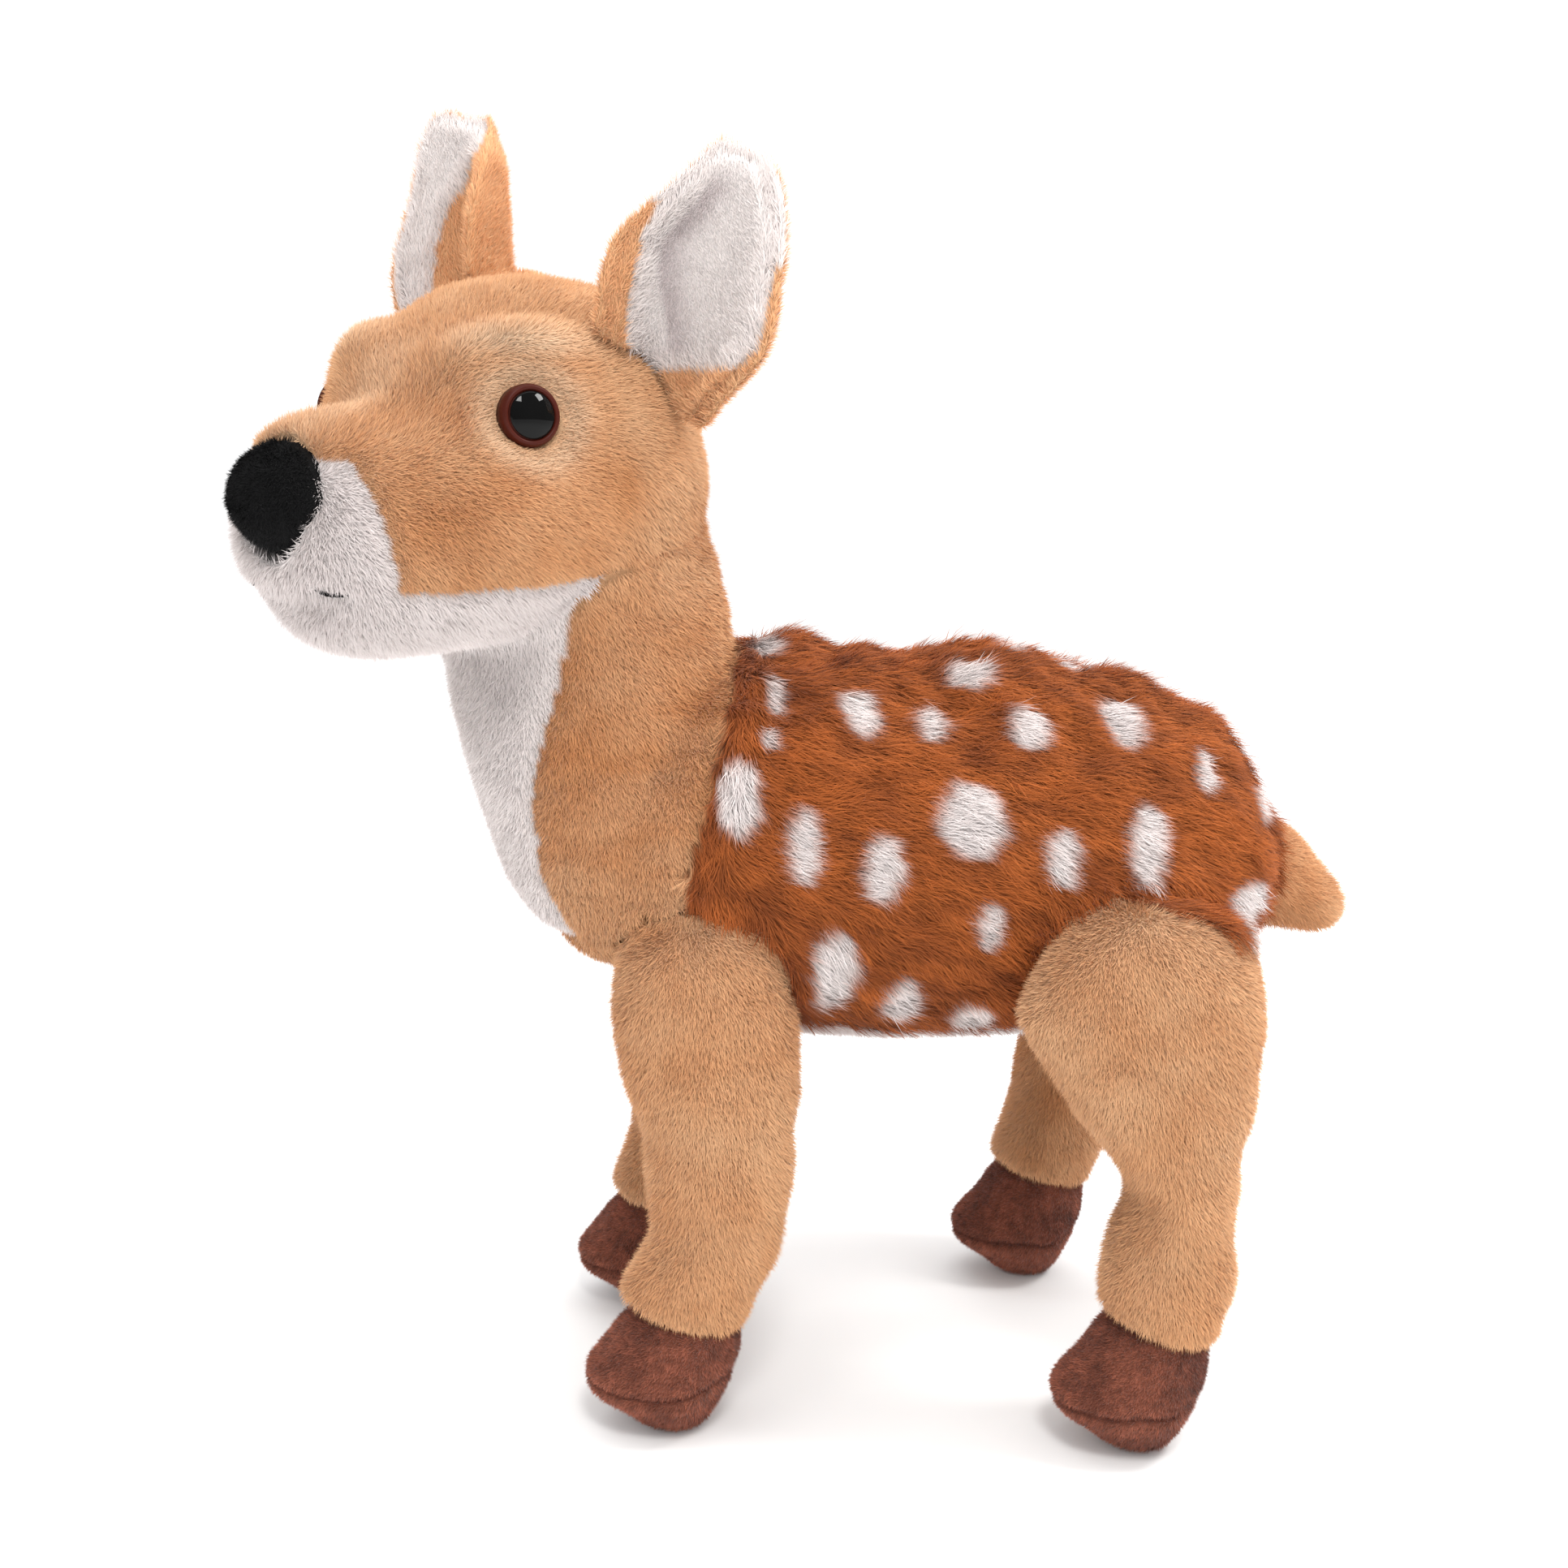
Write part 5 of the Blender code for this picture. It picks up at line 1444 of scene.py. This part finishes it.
class DEER_OT_tail(bpy.types.Operator):
    """Make the short tail"""
    bl_idname = "deer.tail"
    bl_label = "Tail"

    def execute(self, context):
        skin = knitted("tail_skin", ("tail",), 0.0011, 4)
        mesh = skin.data
        cover = settled(mesh, "tail")
        places = numbers(mesh)
        tint = tan_cloth(places, 0.15)
        bedding(mesh, np.tile((0.0, 0.8, -0.5), (len(places), 1)),
                1.15 + 0.15 * grain(places, 0.006, 73), cover, tint)
        short = short_strand()
        pile("tail_pile", mesh.copy(), materials()["plush"], "tail", "tan", ("tail",), Seed=71,
             **short_pile(short))
        forget(short)
        backed(skin, tint, BACKING_SHADE, "tail", "tan", "tail")
        return {"FINISHED"}


# How far the front of each leg is drawn back, and the front legs' whole lower stretch
DRAWN_BACK = {"front_left": 0.0018, "front_right": 0.0042, "hind_left": 0.0032, "hind_right": 0.0085}
# Heights between which a leg is drawn back: where it starts, is full, fades and ends
FRONT_STRETCH = (0.028, 0.045, 0.085, 0.108)
KNEE_STRETCH = (0.030, 0.048, 0.064, 0.097)
HOCK_STRETCH = (0.026, 0.036, 0.055, 0.075)
KNEE_SLACK, FAR_HOCK_SLACK = 0.0039, 0.0060     # how far the front edge is drawn back there
FRONT_EDGE = 0.014              # how wide the front edge of a leg is
FRONT_TUCK, FRONT_TUCK_UP = 0.0040, 0.0014      # how far the rear of a front leg's foot is tucked in
HIND_TUCK, HIND_TUCK_UP = 0.0018, 0.0026        # and of a hind leg's
# Height up the near hind leg and how far its front edge is drawn back there
HOCK_SLACK = ((0.042, 0.0), (0.046, 0.0012), (0.050, 0.0033), (0.055, 0.0068), (0.060, 0.0092),
              (0.064, 0.0095), (0.071, 0.0079), (0.078, 0.0064), (0.0845, 0.0048), (0.090, 0.0022),
              (0.096, -0.0008), (0.1005, -0.0029), (0.106, -0.0012), (0.112, 0.0))


class DEER_OT_legs(bpy.types.Operator):
    """Make the four stuffed legs"""
    bl_idname = "deer.legs"
    bl_label = "Legs"

    def execute(self, context):
        _, sizes, _ = settings()
        short = short_strand()
        for order, corner in enumerate(CORNERS):
            leg = "leg_" + corner
            skin = knitted("leg_skin_" + corner, (leg,), sizes.grid, 5)
            mesh = skin.data
            cover = settled(mesh, leg)
            under = cover == HEM
            cover[under] = 0.0
            low, high = self.creases(mesh, order)
            places = numbers(mesh)
            self.pose(places, corner)
            place_all(mesh, places)
            if under.any():
                self.hem(mesh, under, corner)
            deep_tone_and_shade = 0.2 * bell((places[:, 2] - low) / (high - low), 0.0, 0.12)
            # painted shade on the far hind leg, above its hoof
            if corner == "hind_right":
                deep_tone_and_shade += 0.30 * smooth(0.030, 0.050, places[:, 2])
            tint = tan_cloth(places, deep_tone_and_shade)
            swirl = grain(places, 0.015, 93 + order)
            comb = np.stack([0.25 * swirl, 0.15 - 0.25 * swirl, -np.ones(len(places))], 1)
            bedding(mesh, comb, 1.0 + 0.12 * grain(places, 0.008, 97 + order),
                    cover * open_share(mesh, ("hoof_" + corner,), 0.002), tint,
                    0.15 * grain(places, 0.006, 98 + order))
            pile("leg_pile_" + corner, mesh.copy(), materials()["plush"], leg, "tan", (leg,),
                 Seed=81 + order, **short_pile(short))
            backed(skin, tint, BACKING_SHADE, leg, "tan", leg)
        forget(short)
        return {"FINISHED"}

    def creases(self, mesh, order):
        """Give a leg lumps of stuffing and slight creases, and return its lowest and highest place."""
        places = numbers(mesh)
        height = places[:, 2]
        low, high = height.min(), height.max()
        lumps = 0.0006 * grain(places, 0.020, 81 + order)
        creases = 0.0004 * np.sin(height / 0.0034 + 2.0 * grain(places, 0.03, 85 + order))
        press(mesh, lumps + creases * smooth(high - 0.02, high - 0.05, height))
        return low, high

    def hem(self, mesh, under, corner):
        """Lay the rear hem of the saddle's pile over a thigh."""
        places = numbers(mesh)
        side = np.sign(places[:, 0])
        wave = grain(places, 0.006, 111)
        comb = np.stack([0.5 * side, 0.75 + 0.4 * wave, -0.75 + 0.5 * wave], 1)
        bedding(mesh, comb, 1.0 + 0.25 * wave, np.ones(len(places)), saddle_cloth(places), 0.2 * wave)
        long = long_strand()
        pile("saddle_pile_hem" + corner[4:], part_of(mesh, under, "hem"), materials()["saddle"],
             "torso", "rust", ("saddle",), Seed=111, **long_pile(long))
        forget(long)

    def pose(self, places, corner):
        """Take up a leg's front edge and its lower hem, as its stuffing has settled."""
        height = places[:, 2].copy()
        middle = places[:, 1].mean()
        ahead = smooth(middle + 0.008, places[:, 1].min() + 0.004, places[:, 1])
        back = DRAWN_BACK[corner]
        if corner.startswith("front"):
            places[:, 1] += back * band(height, *FRONT_STRETCH)
            behind = smooth(middle - 0.002, places[:, 1].max(), places[:, 1])
            places[:, 1] -= FRONT_TUCK * behind * smooth(0.046, 0.030, height)
            places[:, 2] += FRONT_TUCK_UP * behind * smooth(0.042, 0.026, height)
        elif corner == "hind_left":
            places[:, 1] += back * ahead * band(height, *HOCK_STRETCH)
        else:
            places[:, 1] += back * ahead * smooth(0.045, 0.080, height)
        levels = np.linspace(height.min(), height.max(), 30)
        fronts = [places[abs(height - level) < 0.004, 1].min() for level in levels]
        from_front = places[:, 1] - np.interp(height, levels, fronts)
        front = bell(from_front, 0.0, FRONT_EDGE)
        if corner.startswith("hind"):
            tucked = smooth(0.008, 0.026, from_front) * smooth(0.044, 0.026, height)
            places[:, 1] -= HIND_TUCK * tucked
            places[:, 2] += HIND_TUCK_UP * tucked
        slack = {"front_left": KNEE_SLACK * band(height, *KNEE_STRETCH), "front_right": 0.0,
                 "hind_left": along_table(height, HOCK_SLACK),
                 "hind_right": FAR_HOCK_SLACK * smooth(0.026, 0.056, height)}[corner]
        places[:, 1] += slack * front


# A hoof's forms, front and hind: how full its toe is and how far its heel is lifted
TOE_FULL = {"front": 0.0008, "hind": 0.0028}
HEEL_LIFT = {"front": 0.0014, "hind": 0.0026}
TOE_BACK, TOE_LOW = 0.0022, 0.0012      # how far the toe is drawn in, and less of it low down
HEEL_IN, HEEL_LOW = 0.0024, 0.0014      # how far the heel is drawn in, and more of it low down
EDGE_UP = 0.0060                # how far the edge of the sole curls up
SEAM_OVER_SOLE = 0.0026         # height of the sole's seam over the sole
SEAM_WIDTH, SEAM_DENT = 0.0011, 0.0012


class DEER_OT_hooves(bpy.types.Operator):
    """Make the four velour hooves with their soles"""
    bl_idname = "deer.hooves"
    bl_label = "Hooves"

    def execute(self, context):
        _, sizes, _ = settings()
        short = short_strand()
        for order, corner in enumerate(CORNERS):
            hoof, sole, leg = "hoof_" + corner, "sole_" + corner, "leg_" + corner
            skin = knitted("hoof_skin_" + corner, (hoof, sole), 0.0010, 4)
            mesh = skin.data
            low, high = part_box(sole)
            apart = self.seam(mesh, low, high, order)
            places = self.form(numbers(mesh), low, high, corner)
            place_all(mesh, places)
            tint = self.tint(places, low, high, apart, order)
            comb = np.stack([grain(places, 0.006, 105 + order), -0.7 + 0.4 * grain(places, 0.006, 109),
                             np.full(len(places), -0.8)], 1)
            others = [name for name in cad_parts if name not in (hoof, sole) and "washer" not in name]
            cover = open_share(mesh, others, 0.0015) * smooth(0.0004, 0.0012, places[:, 2])
            bedding(mesh, comb, 0.6 + 0.4 * smooth(0.0, 0.0015, apart), cover, tint)
            pile("hoof_pile_" + corner, mesh.copy(), materials()["velour"], leg, "hoof", (hoof,),
                 Seed=101 + order, **pile_of(short, 12.0, sizes.velour, 0.00018, 0.8, 0.5, LIVELY))
            backed(skin, tint, THIN_BACKING_SHADE, leg, "hoof", hoof, sole)
        forget(short)
        return {"FINISHED"}

    def seam(self, mesh, low, high, order):
        """Draw in the wavy seam over the sole, and return how far each vertex is from it."""
        places = numbers(mesh)
        along = places[:, 1] - (low.y + high.y) / 2.0
        wave = 0.0008 * np.sin(along / 0.0046 + order) + 0.0003 * np.sin(along / 0.0019 + order)
        apart = abs(places[:, 2] - high.z - SEAM_OVER_SOLE - wave)
        upright = np.clip(1.3 - 1.3 * abs(numbers(mesh, "normal")[:, 2]), 0.0, 1.0)
        press(mesh, SEAM_DENT * bell(apart, 0.0, SEAM_WIDTH) * upright)
        return apart

    def form(self, places, low, high, corner):
        """Round the toe and the heel off, and curl the edge of the sole up."""
        middle = (low + high) / 2.0
        pair = corner.split("_")[0]
        toe = smooth(middle.y + 0.004, low.y, places[:, 1])
        heel = smooth(middle.y, high.y, places[:, 1])
        up = places[:, 2].copy()
        places[:, 1] += toe * (TOE_FULL[pair] * smooth(0.013, 0.024, up) - TOE_LOW * smooth(0.016, 0.008, up))
        places[:, 1] -= TOE_BACK * toe + (HEEL_IN + HEEL_LOW * smooth(0.020, 0.006, up)) * heel
        places[:, 2] += HEEL_LIFT[pair] * heel * smooth(0.013, 0.022, up)
        half = np.array(high - low)[:2] / 2.0
        out = np.linalg.norm((places[:, :2] - np.array(middle)[:2]) / half, axis=1)
        edge = smooth(0.22, 1.0, out) * (1.0 + 0.9 * heel)
        places[:, 2] += EDGE_UP * edge * smooth(0.022, 0.0, places[:, 2])
        places[:, 2] = np.maximum(places[:, 2], 0.0)
        return places

    def tint(self, places, low, high, apart, order):
        """Return the velour's colour: brushed-over patches, darkest at the heel's top, and the seam."""
        colours, _, _ = settings()
        dark = smooth(0.35, 0.85, 0.5 + 0.6 * grain(places, 0.011, 101 + order, 3))
        brushed = smooth((low.y + high.y) / 2.0 - 0.004, high.y - 0.006, places[:, 1])
        brushed *= smooth(0.010, 0.017, places[:, 2] + 0.003 * grain(places, 0.008, 104))
        brushed *= smooth(-0.5, 0.3, grain(places, 0.014, 107 + order))
        tint = mixed(colours.hoof, colours.hoof_deep, np.maximum(0.45 * dark, 0.62 * brushed))
        tint *= (1.0 + 0.34 * grain(places, 0.0016, 103))[:, None]
        return mixed(tint, colours.hoof_deep, 0.85 * bell(apart, 0.0, SEAM_WIDTH))


class DEER_OT_washers(bpy.types.Operator):
    """Finish the lock washers that hold the eyes inside the head"""
    bl_idname = "deer.washers"
    bl_label = "Washers"

    def execute(self, context):
        white = plastic_material("washer_plastic", (0.75, 0.74, 0.70), 0.5, 0.15)
        for side, _ in SIDES:
            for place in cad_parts["washer_" + side].material_slots:
                place.material = white
        return {"FINISHED"}


# The lights: name, place, size, which of the stage's settings gives the power, and tint
WARM, NEUTRAL = (1.0, 0.99, 0.97), (1.0, 1.0, 1.0)
LIGHTS = (
    ("key_light_left", (0.69, 0.015, 0.99), 0.24, "key", WARM),
    ("key_light_right", (0.13, 0.647, 0.93), 0.24, "key", WARM),
    ("top_light", (-0.15, -0.05, 1.2), 1.0, "fill", NEUTRAL))
AIM = (0.0, 0.0, 0.13)          # the middle of the deer, which the lights face
CAMERA_PLACE = (0.4266, -0.0549, 0.225)
CAMERA_TURN = (11.0, 6.0, 2.0)  # degrees down, ahead of square, and rolled
SENSOR_WIDTH = 36.0             # in millimetres
MIRRORED_SKY = 0.85             # share of the even light that mirrors don't show


class DEER_OT_stage(bpy.types.Operator):
    """Set the camera, the lights and the pale floor"""
    bl_idname = "deer.stage"
    bl_label = "Stage"

    def execute(self, context):
        _, _, stage = settings()
        self.camera(stage)
        self.floor()
        for name, place, size, power, tint in LIGHTS:
            lamp = bpy.data.lights.new(name, "AREA")
            lamp.shape = "SQUARE"
            lamp.size = size
            lamp.energy = getattr(stage, power)
            lamp.color = tint
            thing = link(name, lamp)
            thing.location = place
            aim = Vector(AIM) - Vector(place)
            thing.rotation_euler = aim.to_track_quat("-Z", "Y").to_euler()
        world = bpy.data.worlds.new("Even light")
        world.use_nodes = True
        sky = world.node_tree.nodes["Background"]
        t = Tree(world.node_tree)
        mirrored_ray = t.node("ShaderNodeLightPath").outputs["Is Glossy Ray"]
        t.fill(sky, {"Color": (1.0, 1.0, 1.0, 1.0), "Strength": t.maths("MULTIPLY", stage.sky, t.maths(
            "SUBTRACT", 1.0, t.maths("MULTIPLY", mirrored_ray, MIRRORED_SKY)))})
        bpy.context.scene.view_settings.view_transform = "Standard"
        bpy.context.scene.world = world
        return {"FINISHED"}

    def camera(self, stage):
        """Stand the camera at the deer's left, a little above its back and slightly rolled."""
        pitch, yaw, roll = (math.radians(degrees) for degrees in CAMERA_TURN)
        right = Vector((math.sin(yaw), math.cos(yaw), 0.0))
        ahead = Vector((-math.cos(yaw), math.sin(yaw), 0.0))
        look = ahead * math.cos(pitch) - UP * math.sin(pitch)
        up = UP * math.cos(pitch) + ahead * math.sin(pitch)
        x_axis = right * math.cos(roll) + up * math.sin(roll)
        y_axis = up * math.cos(roll) - right * math.sin(roll)
        lens = bpy.data.cameras.new("camera")
        lens.lens = stage.focal
        lens.sensor_width = SENSOR_WIDTH
        lens.clip_start = 0.01
        camera = link("camera", lens)
        turn = Matrix((x_axis, y_axis, -look)).transposed().to_4x4()
        camera.matrix_world = Matrix.Translation(CAMERA_PLACE) @ turn
        bpy.context.scene.camera = camera

    def floor(self):
        """Lay a wide pale floor under the soles."""
        material, t, shader = new_material("floor_paper", Roughness=0.9, Specular_IOR_Level=0.0)
        grained(t, shader, (0.96, 0.96, 0.96, 1.0), 60.0, 0.03)
        body = bmesh.new()
        bmesh.ops.create_grid(body, x_segments=8, y_segments=8, size=6.0)
        mesh = bpy.data.meshes.new("floor")
        body.to_mesh(mesh)
        body.free()
        mesh.materials.append(material)
        link("floor", mesh)


class DEER_PT_panel(bpy.types.Panel):
    """Lists the deer's operators and settings"""
    bl_idname = "DEER_PT_panel"
    bl_label = "Plush deer"
    bl_space_type = "VIEW_3D"
    bl_region_type = "UI"
    bl_category = "Plush deer"

    def draw(self, context):
        for step in STEPS:
            self.layout.operator(step.bl_idname)
        for group in settings():
            box = self.layout.box()
            for key in group.bl_rna.properties.keys():
                if key not in ("rna_type", "name"):
                    box.prop(group, key)


STEPS = (DEER_OT_stage, DEER_OT_body, DEER_OT_head, DEER_OT_nose, DEER_OT_eyes, DEER_OT_ears,
         DEER_OT_tail, DEER_OT_legs, DEER_OT_hooves, DEER_OT_washers)
GROUPS = (("deer_colours", DeerColours), ("deer_pile", DeerPile), ("deer_stage", DeerStage))


def register():
    """Register the classes and hang the settings on the scene."""
    for key, group in GROUPS:
        bpy.utils.register_class(group)
        setattr(bpy.types.Scene, key, bpy.props.PointerProperty(type=group))
    for step in (*STEPS, DEER_PT_panel):
        bpy.utils.register_class(step)


def unregister():
    """Take the classes and the settings away again."""
    for step in (*STEPS, DEER_PT_panel):
        bpy.utils.unregister_class(step)
    for key, group in GROUPS:
        delattr(bpy.types.Scene, key)
        bpy.utils.unregister_class(group)


def main():
    """Make the stage and every piece."""
    register()
    for step in STEPS:
        family, name = step.bl_idname.split(".")
        getattr(getattr(bpy.ops, family), name)()


if __name__ == "__main__":
    main()
